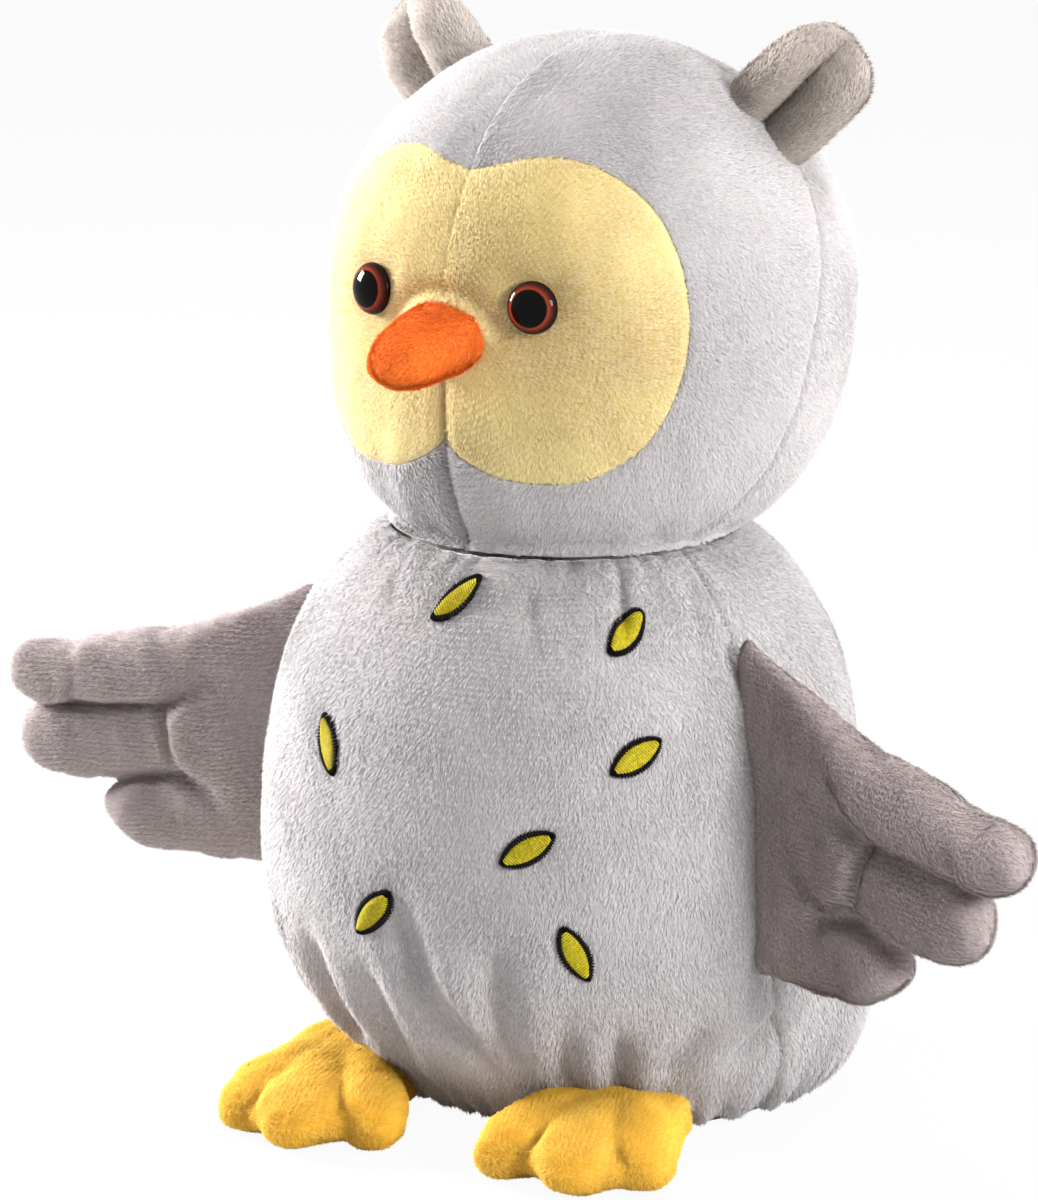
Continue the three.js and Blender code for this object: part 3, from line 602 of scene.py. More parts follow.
# Unbleached cotton calico, a plain weave with threads 0.6 mm apart.
calico, tree = new_material("cotton_calico")
place = add_node(tree, "TexCoord").outputs["Object"]
threads = {"Color1": linear(0xE6E0D2), "Color2": linear(0xD8D0BF), "Mortar": linear(0xB9AF9A)}
weave = add_node(tree, "TexBrick", {"Vector": place, "Scale": 800, **threads}).outputs
bump = add_node(tree, "Bump", {"Height": weave["Fac"], "Distance": -0.0003})
surface = {"Base Color": weave["Color"], "Normal": bump.outputs[0], "Roughness": 0.85}
cotton = add_node(tree, "BsdfPrincipled", surface)
add_node(tree, "OutputMaterial", {"Surface": cotton.outputs[0]})
bag = ball_mesh(40, 24, bag_shape)
pellets = finished("pellet_pouch", bag, "body", "pellet_cloth", "pellet_bag", calico)

# ---- Flecks ----
# Seven machine-embroidered flecks: yellow-green satin stitch laid across each lens, and a dark
# corded outline sewn round it, both in glossy rayon thread.

THREAD_PITCH = 0.0006
OUTLINE_RADIUS = 0.00066


def thread(name, dark, light):
    """Rayon thread: strong colour, a painted highlight on each stitch's crown, painted shade between."""
    material, tree = new_material(name)
    place = add_node(tree, "TexCoord").outputs["Object"]
    strands = add_node(tree, "TexNoise", {"Vector": place, "Scale": 1500, "Detail": 2}).outputs["Fac"]
    stitch = add_node(tree, "Attribute", attribute_name=TONE_AND_PAINTED_LIGHT).outputs["Fac"]
    lit = add_node(tree, "Math", {0: strands, 1: stitch}, operation="MULTIPLY").outputs[0]
    ends = {6: linear(dark), 7: linear(light)}
    colour = add_node(tree, "Mix", {0: lit, **ends}, data_type="RGBA").outputs[2]
    surface = {"Base Color": colour, "Roughness": 0.6, "Specular IOR Level": 0.15}
    silk = add_node(tree, "BsdfPrincipled", surface)
    add_node(tree, "OutputMaterial", {"Surface": silk.outputs[0]})
    return material


# Each thread in painted shade between the stitches and in a painted highlight on their crowns.
lime_thread = thread("lime_rayon_thread", 0x584802, 0xD8C82A)
dark_thread = thread("dark_rayon_thread", 0x060504, 0x12100D)


def on_fleck(fleck, along, across, lift):
    """A point of the belly in a fleck's own directions."""
    angle, height, turn = fleck
    x, y = turned(along, across, -turn)
    at = angle + np.degrees(x / BODY_RADIUS)
    return body_place(at, height + y, body_relief(at, height + y) + lift)


def lens_half_width(along):
    return FLECK_WIDTH / 2 * np.clip(1 - (2 * along / FLECK_LENGTH) ** 2, 0, 1) ** 0.8


for number, fleck in enumerate(FLECKS, 1):
    stitch_highlight_tones = []

    def stitched(u, v):
        along = (u - 0.5) * (FLECK_LENGTH - 2 * OUTLINE_RADIUS)
        across = (2 * v - 1) * lens_half_width(along)
        crown = 0.0011 * (1 - (2 * v - 1) ** 2) ** 0.5 + 0.0003
        slant = along + 0.35 * across
        ridge = np.abs(np.sin(math.pi * slant / THREAD_PITCH))
        # Painted highlight on each stitch's crown, painted shade in the grooves between.
        stitch_highlight_tones.extend(0.3 + 1.1 * ridge)
        return on_fleck(fleck, along, across, crown + 0.0003 * ridge)

    bm = grid_mesh(160, 8, stitched)
    bmesh.ops.recalc_face_normals(bm, faces=bm.faces)
    stitches = bm.verts.layers.float.new(TONE_AND_PAINTED_LIGHT)
    for vert, tone in zip(bm.verts, stitch_highlight_tones):
        vert[stitches] = tone
    outline = bmesh.ops.create_grid(bm, x_segments=320, y_segments=8, size=0.5)["verts"]
    shares = get_places(outline) + 0.5
    turn = 2 * math.pi * shares[:, 0]
    along = np.cos(turn) * FLECK_LENGTH / 2
    across = np.sign(np.sin(turn)) * lens_half_width(along)
    around = 2 * math.pi * shares[:, 1]
    twist = 0.8 + 0.7 * np.abs(np.sin(turn * 30 + 2 * np.sin(turn * 3 + number))) ** 3
    outward = np.stack((np.cos(turn) * 0.4, np.sin(turn)), -1)
    outward = unit(outward) * (OUTLINE_RADIUS * np.cos(around) * twist)[:, None]
    lift = OUTLINE_RADIUS * 0.8 * np.sin(around) * twist + 0.0006
    set_places(outline, on_fleck(fleck, along + outward[:, 0], across + outward[:, 1], lift))
    for face in {face for vert in outline for face in vert.link_faces}:
        face.material_index = 1
    bmesh.ops.remove_doubles(bm, verts=outline, dist=1e-6)
    threads = lime_thread, dark_thread
    finished(f"fleck_stitches_{number}", bm, "body", "fleck_thread", f"fleck_{number}", *threads)

# ---- Head ----
# A ball of six plush panels: two yellow face halves, two grey hoods that hold the ears in their
# back seams, and two grey backs. Only the neck seam joins it to the body.

HEAD_RADIUS = 0.0615
HEAD_CENTRE = np.array((0, -0.0095, 0.195))
HEAD_LOWER_FULLNESS = 2.7
HEAD_UPPER_SHARE = 0.93
JAW_FORWARD_SHARE = 0.19
NECK_CUT = 0.1404
SIDE_SEAM_LEAN = 0.22
FACE_EDGE = [
    (-90, 0.43), (-75, 0.53), (-60, 0.635), (-45, 0.73), (-30, 0.785), (0, 0.81), (30, 0.795),
    (50, 0.74), (65, 0.665), (78, 0.58), (90, 0.545),
]
SIDES = (("left", 1), ("right", -1))
EYE_SIDE_ANGLE = 20.8
EYE_FACING_ANGLE = 13
EYE_RISE_ANGLE = 4


def head_surface(ways, lift):
    """The point of the head in a direction from its centre, at a distance off the form."""
    below = ways[:, 2] < 0
    fullness = np.where(below, HEAD_LOWER_FULLNESS, 2)
    level = np.hypot(ways[:, 0], ways[:, 1]) ** fullness
    upright = np.abs(np.where(below, ways[:, 2], ways[:, 2] / HEAD_UPPER_SHARE)) ** fullness
    radius = HEAD_RADIUS / (level + upright) ** (1 / fullness)
    points = ways * (radius + lift)[:, None]
    depth = np.where(below, points[:, 2] / HEAD_RADIUS, 0)
    points[:, 1] -= JAW_FORWARD_SHARE * HEAD_RADIUS * depth**2
    return points + HEAD_CENTRE


def head_ways(front, around):
    """Directions at an angle from straight ahead, turned round it from the side (0) to the crown (90)."""
    f, r = np.radians(front), np.radians(around)
    return np.stack((np.sin(f) * np.cos(r), -np.cos(f), np.sin(f) * np.sin(r)), -1)


def face_edge(around):
    return np.degrees(np.arcsin(smooth_value(FACE_EDGE, around)))


def side_seam(around):
    return 90 + np.degrees(np.arctan(SIDE_SEAM_LEAN * np.sin(np.radians(around))))


def dimple(points, centre, width, depth):
    gap = np.linalg.norm(points - centre, axis=1)
    return -depth * np.exp(-((gap / width) ** 2))


def eye_way(side, angle=EYE_SIDE_ANGLE):
    return np.array([from_front(side * angle, EYE_RISE_ANGLE)])


EYE_SEATS = {side: head_surface(eye_way(side), np.zeros(1))[0] for word, side in SIDES}
BEAK_SEAM_HEIGHT = 0.1895
BEAK_SEAM_REACH = 0.0088


def head_relief(points):
    """How far the head's cloth stands off its plain form, in metres."""
    relief = 0.0005 * lumps(points, 0.04, 31) + 0.0002 * lumps(points, 0.013, 32)
    for seat in EYE_SEATS.values():
        relief = relief + dimple(points, seat, width=0.0085, depth=0.0016)
    above_neck = points[:, 2] - NECK_CUT
    turn = np.arctan2(points[:, 0], -(points[:, 1] + BELLY_FORWARD))
    gathers = np.sin(turn * 17 + 2 * np.sin(turn * 5)) * np.exp(-np.clip(above_neck, 0, 1) / 0.007)
    off = np.hypot(points[:, 0] / 1.2, points[:, 2] - BEAK_SEAM_HEIGHT) - BEAK_SEAM_REACH
    above = np.clip((points[:, 2] - BEAK_SEAM_HEIGHT) / 0.004, 0, 1) * (points[:, 1] < HEAD_CENTRE[1])
    ridge = 0.0011 * np.exp(-((off / 0.0009) ** 2)) - 0.0009 * np.exp(-(((off - 0.0032) / 0.0016) ** 2))
    return relief + 0.0005 * gathers + ridge * above


NECK_RADIUS = 0.0408
NECK_FLARE = 0.012


def flared(points):
    """Spreads the head's lowest cloth to the round seam on the body."""
    off = points[:, :2] - np.array((0, -BELLY_FORWARD))
    radius = np.hypot(off[:, 0], off[:, 1])
    near = np.clip(1 - (points[:, 2] - NECK_CUT) / NECK_FLARE, 0, 1) ** 2
    wanted = np.maximum(radius, NECK_RADIUS) * near + radius * (1 - near)
    points[:, :2] += off * (wanted / radius - 1)[:, None]
    return points


def keep_past(bm, point, normal):
    """Cuts away what lies behind a plane."""
    everything = [*bm.verts, *bm.edges, *bm.faces]
    bmesh.ops.bisect_plane(bm, geom=everything, plane_co=point, plane_no=normal, clear_inner=True)


def head_panel(name, side, zone, seams, grid, locks, seed, cloth, ribbed):
    """Half a ring of cloth on one side of the head, with rolled-in seams, pile and inner face.

    seams gives the depth of the inner, the outer, the upper middle and the lower middle seam.
    """
    start, end = zone
    inner, outer, upper, lower = seams
    material, slot, stroke = cloth

    def place(across, up):
        around = -90 + 180 * across
        low, high = start(around), end(around)
        share = tighter_at_ends(up)
        front = low + (high - low) * share
        ways = head_ways(front, around)
        plain = head_surface(ways, np.zeros(len(ways)))
        lift = head_relief(plain)
        lift = lift + rolled_in(np.radians(front - low) * HEAD_RADIUS, inner, SEAM_WIDTH)
        lift = lift + rolled_in(np.radians(high - front) * HEAD_RADIUS, outer, SEAM_WIDTH)
        middle = np.where(plain[:, 2] < HEAD_CENTRE[2], lower, upper)
        lift = lift + rolled_in(np.abs(plain[:, 0]), middle, 0.0045)
        points = flared(head_surface(ways, lift))
        points[:, 0] *= side
        return points

    bm = grid_mesh(*grid, place)
    keep_past(bm, (0, 0, NECK_CUT), (0, 0, 1))
    if side > 0:
        bmesh.ops.reverse_faces(bm, faces=bm.faces)
    pile = {"locks": locks, "nap": stroke, "seed": seed, "rows": round_face, "ribbed": ribbed}
    plush_piece(f"{name}_panel", bm, "head", slot, name, material, CLOTH_THICKNESS, **pile)


yellow_plush = plush("yellow_polyester_plush", 0xC8A01C, 0xFFFFE8, 0xFCF2B4)


def from_beak(points):
    """Face pile is stroked outwards from the beak, and a little down."""
    away = points - (HEAD_CENTRE + np.array((0, -HEAD_RADIUS, -0.004)))
    return unit(away) + np.array((0, 0, -0.25))


def round_face(points):
    """The distance of a point from the middle of the face, over the head."""
    away = unit(points - HEAD_CENTRE)
    return HEAD_RADIUS * np.arccos(np.clip(-away[:, 1], -1, 1))


def from_crown(points):
    """The pile of the grey panels parts on the crown and lies down and backward."""
    off = points - HEAD_CENTRE
    half = np.sign(off[:, 0])
    return unit(np.stack((half * off[:, 2], 0.8 * np.linalg.norm(off, axis=1), -half * off[:, 0]), -1))


def zero(around):
    return 0 * around


def half_turn(around):
    return 180 + 0 * around


yellow = (yellow_plush, "yellow_plush", from_beak)
grey = (grey_plush, "grey_plush", from_crown)
# Name, where the panel starts and ends, its seams' depths, its grid, locks, seed, cloth and ribs.
HEAD_PANELS = [
    ("face", (zero, face_edge), (0, 0.0014, 0.0006, 0.0032), (90, 50), 70000, 40, yellow, 0.7),
    ("hood", (face_edge, side_seam), (0.0003, 0.0014, 0.0002, 0.0026), (100, 50), 90000, 50, grey, 0.6),
    ("head_back", (side_seam, half_turn), (0.0014, 0, 0.001, 0.001), (76, 48), 90000, 60, grey, 0.8),
]
for word, side in SIDES:
    for name, zone, seams, grid, locks, seed, cloth, ribbed in HEAD_PANELS:
        head_panel(f"{name}_{word}", side, zone, seams, grid, locks, seed + side, cloth, ribbed)


def head_inside(points):
    """The head's form, laid a little deeper than the body's filling to stay clear of the eye dips."""
    inside = head_surface(unit(points), np.full(len(points), -UNDER_CLOTH - 0.0018))
    inside[:, 2] = np.maximum(inside[:, 2], NECK_CUT)
    return inside


add_filling("head_filling", ball_mesh(48, 32, head_inside), "head")

# ---- Eyes ----
# Plastic safety eyes: a polished dome over a black pupil and a red-brown ring, pressed into the
# face, with a shank that a white nylon washer holds from behind.

EYE_RADIUS = 0.006
EYE_DOME = 0.0033
SHANK_RADIUS = 0.0018
SHANK_LENGTH = 0.0105
# Radius and height along the turned form, from the end of the shank to the top of the dome.
EYE_PROFILE = [
    (0.0, -SHANK_LENGTH), (SHANK_RADIUS * 0.8, -SHANK_LENGTH), (SHANK_RADIUS, -SHANK_LENGTH + 0.0006),
    (SHANK_RADIUS, -0.0006), (EYE_RADIUS - 0.0006, -0.0006), (EYE_RADIUS, 0.0),
    *((EYE_RADIUS * math.cos(t), EYE_DOME * math.sin(t)) for t in np.linspace(0.06, math.pi / 2, 24)),
]
# Colours from the middle outwards: the pupil, a step to the ring, and the rim.
EYE_RINGS = [
    (0.0, 0x050404), (0.7, 0x060404), (0.74, 0x86361F), (0.86, 0x4C1B14), (0.93, 0x240E0B), (1.0, 0x160A08),
]


def eye_material(word, seat, axis):
    """Back-painted acrylic: a black pupil, a red-brown ring that lightens inwards, and a dark rim."""
    material, tree = new_material(f"back_painted_acrylic_{word}")
    place = add_node(tree, "TexCoord").outputs["Object"]
    off = add_node(tree, "VectorMath", {0: place, 1: seat}, operation="SUBTRACT").outputs[0]
    # The length of this product with the axis is the distance from the axis.
    turned_off = add_node(tree, "VectorMath", {0: off, 1: axis}, operation="CROSS_PRODUCT").outputs[0]
    reach = add_node(tree, "VectorMath", {0: turned_off}, operation="LENGTH").outputs["Value"]
    share = add_node(tree, "Math", {0: reach, 1: EYE_RADIUS}, operation="DIVIDE")
    rings = add_node(tree, "ValToRGB", {"Fac": share.outputs[0]})
    ramp = rings.color_ramp.elements
    for stop, (position, colour) in zip(ramp, (EYE_RINGS[0], EYE_RINGS[-1])):
        stop.position, stop.color = position, linear(colour)
    for position, colour in EYE_RINGS[1:-1]:
        ramp.new(position).color = linear(colour)
    surface = {"Base Color": rings.outputs["Color"], "Roughness": 0.06, "Specular IOR Level": 0.09}
    dome = add_node(tree, "BsdfPrincipled", surface)
    add_node(tree, "OutputMaterial", {"Surface": dome.outputs[0]})
    return material


def eye_place(seat, facing):
    """Lays the unit ball out as an eye, ring by ring of its profile, turned and set in its place."""

    def place(points):
        ring = np.rint(np.arccos(-points[:, 2]) / math.pi * (len(EYE_PROFILE) - 1)).astype(int)
        radius, height = np.array(EYE_PROFILE)[ring].T
        level = unit(points[:, :2]) * radius[:, None]
        return np.column_stack((level, height)) @ np.array(facing).T + seat

    return place


for word, side in SIDES:
    seat, axis = EYE_SEATS[side], eye_way(side, EYE_FACING_ANGLE)[0]
    facing = Vector(axis).to_track_quat("Z", "Y").to_matrix()
    bm = ball_mesh(64, len(EYE_PROFILE) - 1, eye_place(seat, facing))
    finished(f"eye_button_{word}", bm, "head", "eye_glaze", f"eye_{word}", eye_material(word, seat, axis))

# White nylon, moulded: smooth but dull.
nylon, tree = new_material("moulded_nylon")
place = add_node(tree, "TexCoord").outputs["Object"]
grain = add_node(tree, "TexNoise", {"Vector": place, "Scale": 900}).outputs["Fac"]
bump = add_node(tree, "Bump", {"Height": grain, "Strength": 0.1, "Distance": 0.0002})
surface = {"Base Color": linear(0xE8E6E0), "Normal": bump.outputs[0], "Roughness": 0.5}
shell = add_node(tree, "BsdfPrincipled", surface)
add_node(tree, "OutputMaterial", {"Surface": shell.outputs[0]})
for word, side in SIDES:
    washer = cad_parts[f"eye_washer_{word}"]
    washer.data.materials.clear()
    washer.data.materials.append(nylon)

# ---- Beak ----
# A blunt cone of orange plush, sewn to the face round its open end and filled. It droops a little.

BEAK_LENGTH = 0.0237
BEAK_ROOT_WIDTH = 0.0215
BEAK_ROOT_HEIGHT = 0.0163
BEAK_DROOP = math.radians(9)
BEAK_TIP_DROP = 0.001
# How far under the head's middle the beak is sewn on, in degrees.
BEAK_FALL = 3.8
beak_ahead = np.array((0, -math.cos(BEAK_DROOP), -math.sin(BEAK_DROOP)))
beak_through = np.array((0, math.sin(BEAK_DROOP), -math.cos(BEAK_DROOP)))
beak_seat = head_surface(head_ways(np.array([BEAK_FALL]), np.array([-90])), np.zeros(1))[0]


def bag_on_line(points, start, end, across, through, half_across, half_through, round_from, full=1.0):
    """Lays the unit ball out as a bag from start to end, with half sizes that follow its length.

    A fullness under 1 makes its section squarer than an ellipse.
    """
    share = (1 + points[:, 2]) / 2
    ring = np.maximum(np.hypot(points[:, 0], points[:, 1]), 1e-9)
    past = np.clip((share - round_from) / (1 - round_from), 0, 1)
    close = np.where(share > 0.5, np.sqrt(1 - past**2), np.clip(ring * 4, 0, 1))
    cos, sin = points[:, 0] / ring, points[:, 1] / ring
    x = np.sign(cos) * np.abs(cos) ** full * half_across(share) * close
    y = np.sign(sin) * np.abs(sin) ** full * half_through(share) * close
    return start + share[:, None] * (end - start) + x[:, None] * across + y[:, None] * through


def beak_shape(inset, relief):
    start = beak_seat - beak_ahead * BEAK_LENGTH * 0.22
    end = beak_seat + beak_ahead * (BEAK_LENGTH - inset)
    across = np.array((1.0, 0, 0))

    def half_across(share):
        return BEAK_ROOT_WIDTH / 2 * (1.03 - 0.34 * share**1.5) - inset

    def half_through(share):
        return BEAK_ROOT_HEIGHT / 2 * (1.0 - 0.28 * share**1.5) - inset

    def place(points):
        laid = bag_on_line(points, start, end, across, beak_through, half_across, half_through, 0.58)
        away = unit(laid - (start + end) / 2)
        laid = laid + away * (relief * 0.0004 * lumps(laid, 0.009, 71))[:, None]
        drop = BEAK_TIP_DROP * ((1 + points[:, 2]) / 2) ** 2
        return laid + beak_through * drop[:, None]

    return place


orange_plush = plush("orange_polyester_plush", 0xDE4E08, 0xFFB058, 0xF88C2A)
bm = ball_mesh(72, 64, beak_shape(inset=0, relief=1))
pile = {"locks": 16000, "nap": beak_ahead, "seed": 72, "ribbed": 0.2}
plush_piece("beak_cone", bm, "head", "orange_plush", "beak_skin", orange_plush, **pile)
add_filling("beak_filling", ball_mesh(24, 20, beak_shape(inset=UNDER_CLOTH, relief=0)), "head")

# ---- Ears ----
# Each ear is a small pocket of darker plush, folded lengthwise round a hollow and caught in the
# side seam, so that it stands up by itself.

EAR_ANGLE = 43
EAR_ROOT_WIDTH = 0.0238
EAR_HEIGHT = 0.0272
EAR_THICKNESS = 0.0032
EAR_BACK_BULGE = 0.5
EAR_PILE_LENGTH = 0.0017
EAR_RIM = 0.0035
# Width along the ear, as a share of its root width, from under the seam to the tip.
EAR_UNDER_SEAM = -0.2
EAR_WIDTHS = [
    (EAR_UNDER_SEAM, 0.94), (0, 1), (0.3, 1.02), (0.6, 1.0), (0.8, 0.9), (0.9, 0.72), (0.96, 0.5), (1, 0.14),
]
# The section from the outer rim to the crown's side: sideways and forward, as shares of half the
# width. The outer lobe bulges, the crown's side is folded forward, and a hollow lies between them.
EAR_SIDEWAYS = [
    (-1, -1.0), (-0.8, -0.88), (-0.55, -0.52), (-0.3, -0.12), (-0.12, 0.14), (0, 0.28), (0.1, 0.31),
    (0.22, 0.24), (0.34, 0.2), (0.45, 0.28), (0.6, 0.48), (0.8, 0.75), (1, 1.0),
]
EAR_FORWARD = [
    (-1, -0.05), (-0.8, 0.26), (-0.55, 0.34), (-0.3, 0.14), (-0.12, -0.14), (0, -0.34), (0.1, -0.16),
    (0.22, 0.28), (0.34, 0.58), (0.45, 0.7), (0.6, 0.64), (0.8, 0.4), (1, 0.05),
]
EAR_DEEP = [(EAR_UNDER_SEAM, 1.0), (0.3, 1.0), (0.6, 0.86), (0.85, 0.35), (1, 0)]

beige_plush = plush("beige_grey_polyester_plush", 0x8F847E, 0xF8F0E8, 0xD2C7BF)


def ear_directions(side):
    around = np.array([EAR_ANGLE, EAR_ANGLE + 1, EAR_ANGLE - 1], float)
    root, above, under = head_surface(head_ways(side_seam(around), around), np.zeros(3))
    out = unit(root - HEAD_CENTRE)
    across = unit(above - under)
    ahead = unit(np.cross(out, across))
    if ahead[1] > 0:
        ahead = -ahead
    mirror = np.array((side, 1, 1))
    return root * mirror, out * mirror, across * mirror, ahead * mirror


def ear_layer(side, depth):
    """Lays a grid out as a leaf: the lining is folded round a hollow, the back bulges behind it."""
    root, out, across, ahead = ear_directions(side)

    def place(u, v):
        share = EAR_UNDER_SEAM + (1 - EAR_UNDER_SEAM) * v
        half = EAR_ROOT_WIDTH / 2 * smooth_value(EAR_WIDTHS, share)
        t = 2 * u - 1
        if depth:
            x = half * (smooth_value(EAR_SIDEWAYS, t) + 0.2 * v**2 * (1 - t**2))
            forward = half * smooth_value(EAR_FORWARD, t) * smooth_value(EAR_DEEP, share)
        else:
            x = half * t
            forward = -EAR_BACK_BULGE * half * (1 - t**2) * smooth_value(EAR_DEEP, share)
        rim = np.minimum((1 - np.abs(t)) * half, (1 - v) * EAR_HEIGHT)
        step = 0.02
        over = smooth_value(EAR_SIDEWAYS, t + step) - smooth_value(EAR_SIDEWAYS, t - step)
        rise = smooth_value(EAR_FORWARD, t + step) - smooth_value(EAR_FORWARD, t - step)
        facing = unit(np.stack((-rise * smooth_value(EAR_DEEP, share), over), -1))
        padding = depth * (1 - np.clip(1 - rim / EAR_RIM, 0, 1) ** 2)
        x = x + padding * facing[:, 0]
        forward = forward - 0.15 * half + padding * facing[:, 1]
        points = root + out * (share * EAR_HEIGHT)[:, None] + across * x[:, None]
        return points + (forward + 0.0003 * lumps(points, 0.008, 81))[:, None] * ahead

    return place


def relax(bm, verts, times):
    """Smooths points towards their neighbours, as cloth evens out over its filling."""
    axes = {"use_axis_x": True, "use_axis_y": True, "use_axis_z": True}
    for _ in range(times):
        bmesh.ops.smooth_vert(bm, verts=verts, factor=0.5, **axes)


def turned_towards(bm, way):
    """Turns a sheet's faces so that most of them look this way."""
    bm.normal_update()
    if sum(face.normal.dot(Vector(way)) for face in bm.faces) < 0:
        bmesh.ops.reverse_faces(bm, faces=bm.faces)
        bm.normal_update()


for word, side in SIDES:
    root, out, across, ahead = ear_directions(side)
    for layer, depth, way in (("back", 0.0, -ahead), ("lining", EAR_THICKNESS, ahead)):
        bm = grid_mesh(44, 30, ear_layer(side, depth))
        relax(bm, [vert for vert in bm.verts if not vert.is_boundary], 3)
        turned_towards(bm, way)
        pile = {"locks": 14000, "nap": out, "seed": 82 + side, "length": EAR_PILE_LENGTH}
        pile.update(rows=across, ribbed=0.3)
        name = f"ear_{layer}_{word}"
        inner = EAR_THICKNESS / 2
        ear = plush_piece(f"{name}_cloth", bm, None, "taupe_plush", name, beige_plush, inner, **pile)
        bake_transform(ear)

# ---- Wings ----
# Two layers of darker plush sewn round the outline of three feathers, filled, and stitched through
# between the feathers. The root is caught in the body's side seam.

WING_ROOT_HEIGHT = 0.082
WING_HALF_THICKNESS = 0.008
WING_ROUNDNESS = 0.85
FILLING_VOXEL = 0.003
WING_SWEEP = math.radians(10)
WING_LIFT = {1: math.radians(-3), -1: math.radians(3)}
WING_THICKNESS = [(-10.5, 0.25), (0.5, 0.42), (12, 0.75), (28, 0.98), (60, 1), (82, 0.95)]
# The palm and the three feathers, in mm from the root: rows of place along the wing, upper edge and
# lower edge, then where the tip starts to round off and how far the part lies behind the first.
WING_PARTS = [
    ([(-10, 42, -36), (8, 32, -35), (18, 22, -24), (27, 11, -15), (34, 5, -12)], 0.8, 0.0),
    (
        [(-10, 43, 8), (8, 34.5, 7), (28, 26, 5), (41, 22.8, 3), (53, 20.4, 1.4), (60, 18, 1.6),
         (66, 17.2, 0.2), (73, 17, 0.4), (81, 16, 2)],
        0.9,
        0.0,
    ),
    (
        [(-8, 8, -14), (20, 7, -13.5), (35, 5.5, -15.5), (50, 2.6, -20), (60, 0.8, -20.4),
         (73, -0.5, -18.5)],
        0.88,
        2.2,
    ),
    ([(-6, -10, -36), (8, -12, -36), (27, -13.4, -36.6), (37, -15.6, -36), (50, -18.4, -31.5)], 0.78, 2.8),
]
# The right wing is a little smaller than the left one, and droops. Its feathers are more alike in
# length: shares of the rows' reach for the palm and each feather.
WING_SIZE = {1: 1.0, -1: 0.93}
WING_REACH = {1: (1, 0.95, 0.89, 0.85), -1: (1, 1, 1.08, 1.06)}
WING_DROOP = {1: 0.0, -1: 0.03}
# Stitched lines between the feathers and folds in the cloth: both ends, half width and depth in mm.
WING_CREASES = [
    (33, 4.8, 70, -0.5, 1.1, 2.2),
    (19.8, 17, 26, 10, 3.2, 1.6),
    (25, 10.5, 33.2, 4.8, 2.2, 2.0),
    (33.2, 4.8, 30, -12, 1.4, 2.2),
    (28, -13.6, 48, -18, 1.1, 2.2),
    (29, -13.4, 17, -17.6, 2.4, 1.8),
    (58.6, 10.5, 60.8, 2, 1.6, 1.8),
]


taupe_plush = plush("taupe_polyester_plush", 0x877775, 0xF4EBEA, 0xBAAEAE)


def wing_directions(side):
    """The wing's root on the side seam, and its outward, upward and frontward directions."""
    lift = WING_LIFT[side]
    level = np.array((side * math.cos(WING_SWEEP), -math.sin(WING_SWEEP), 0))
    up = np.array((0, 0, 1.0))
    out = level * math.cos(lift) + up * math.sin(lift)
    rise = up * math.cos(lift) - level * math.sin(lift)
    root = body_place(np.array([side * SIDE_SEAM_ANGLE]), np.array([WING_ROOT_HEIGHT]), np.zeros(1))[0]
    front = np.cross(out, rise)
    return root, out, rise, front if front[1] < 0 else -front


def wing_bag(side, inset, rows, round_from, behind, reach):
    """Lays the unit ball out as the palm or as one feather."""
    root, out, rise, front = wing_directions(side)
    size = WING_SIZE[side] / 1000
    tops = [(u, top) for u, top, _ in rows]
    bottoms = [(u, bottom) for u, _, bottom in rows]
    first, last = rows[0][0], rows[-1][0]
    start, end = root + out * first * size, root + out * (last * size * reach - inset)

    def at(share):
        return first + (last - first) * share

    def half_across(share):
        return size * (smooth_value(tops, at(share)) - smooth_value(bottoms, at(share))) / 2 - inset

    def half_through(share):
        return WING_HALF_THICKNESS * smooth_value(WING_THICKNESS, at(share)) - inset

    def place(points):
        u = at((1 + points[:, 2]) / 2)
        middle = (smooth_value(tops, u) + smooth_value(bottoms, u)) / 2 - WING_DROOP[side] * u
        halves = half_across, half_through
        laid = bag_on_line(points, start, end, rise, front, *halves, round_from, WING_ROUNDNESS)
        back = size * behind * np.clip(u / 30, 0, 1)
        return laid + rise * size * middle[:, None] - front * back[:, None]

    return place


def wing_bags(side, inset):
    return [wing_bag(side, inset, *part, reach) for part, reach in zip(WING_PARTS, WING_REACH[side])]


def welded(bags, voxel, times):
    """Welds overlapping bags into one skin, relaxed a few times as stuffed cloth is, as a bmesh."""
    bm = bmesh.new()
    for place in bags:
        made = bmesh.ops.create_uvsphere(bm, u_segments=32, v_segments=40, radius=1)["verts"]
        set_places(made, place(get_places(made)))
    rough = bpy.data.objects.new("rough", bpy.data.meshes.new("rough"))
    bm.to_mesh(rough.data)
    bm.free()
    bpy.context.scene.collection.objects.link(rough)
    weld = rough.modifiers.new("weld", "REMESH")
    weld.mode = "VOXEL"
    weld.voxel_size = voxel
    depsgraph = bpy.context.evaluated_depsgraph_get()
    mesh = bpy.data.meshes.new_from_object(rough.evaluated_get(depsgraph))
    bm = bmesh.new()
    bm.from_mesh(mesh)
    bpy.data.objects.remove(rough)
    bpy.data.meshes.remove(mesh)
    relax(bm, bm.verts, times)
    return bm


def reshape(bm, change):
    """Moves a bmesh's points by change(places, normals)."""
    bm.normal_update()
    normals = np.array([vert.normal for vert in bm.verts])
    set_places(bm.verts, change(get_places(bm.verts), normals))


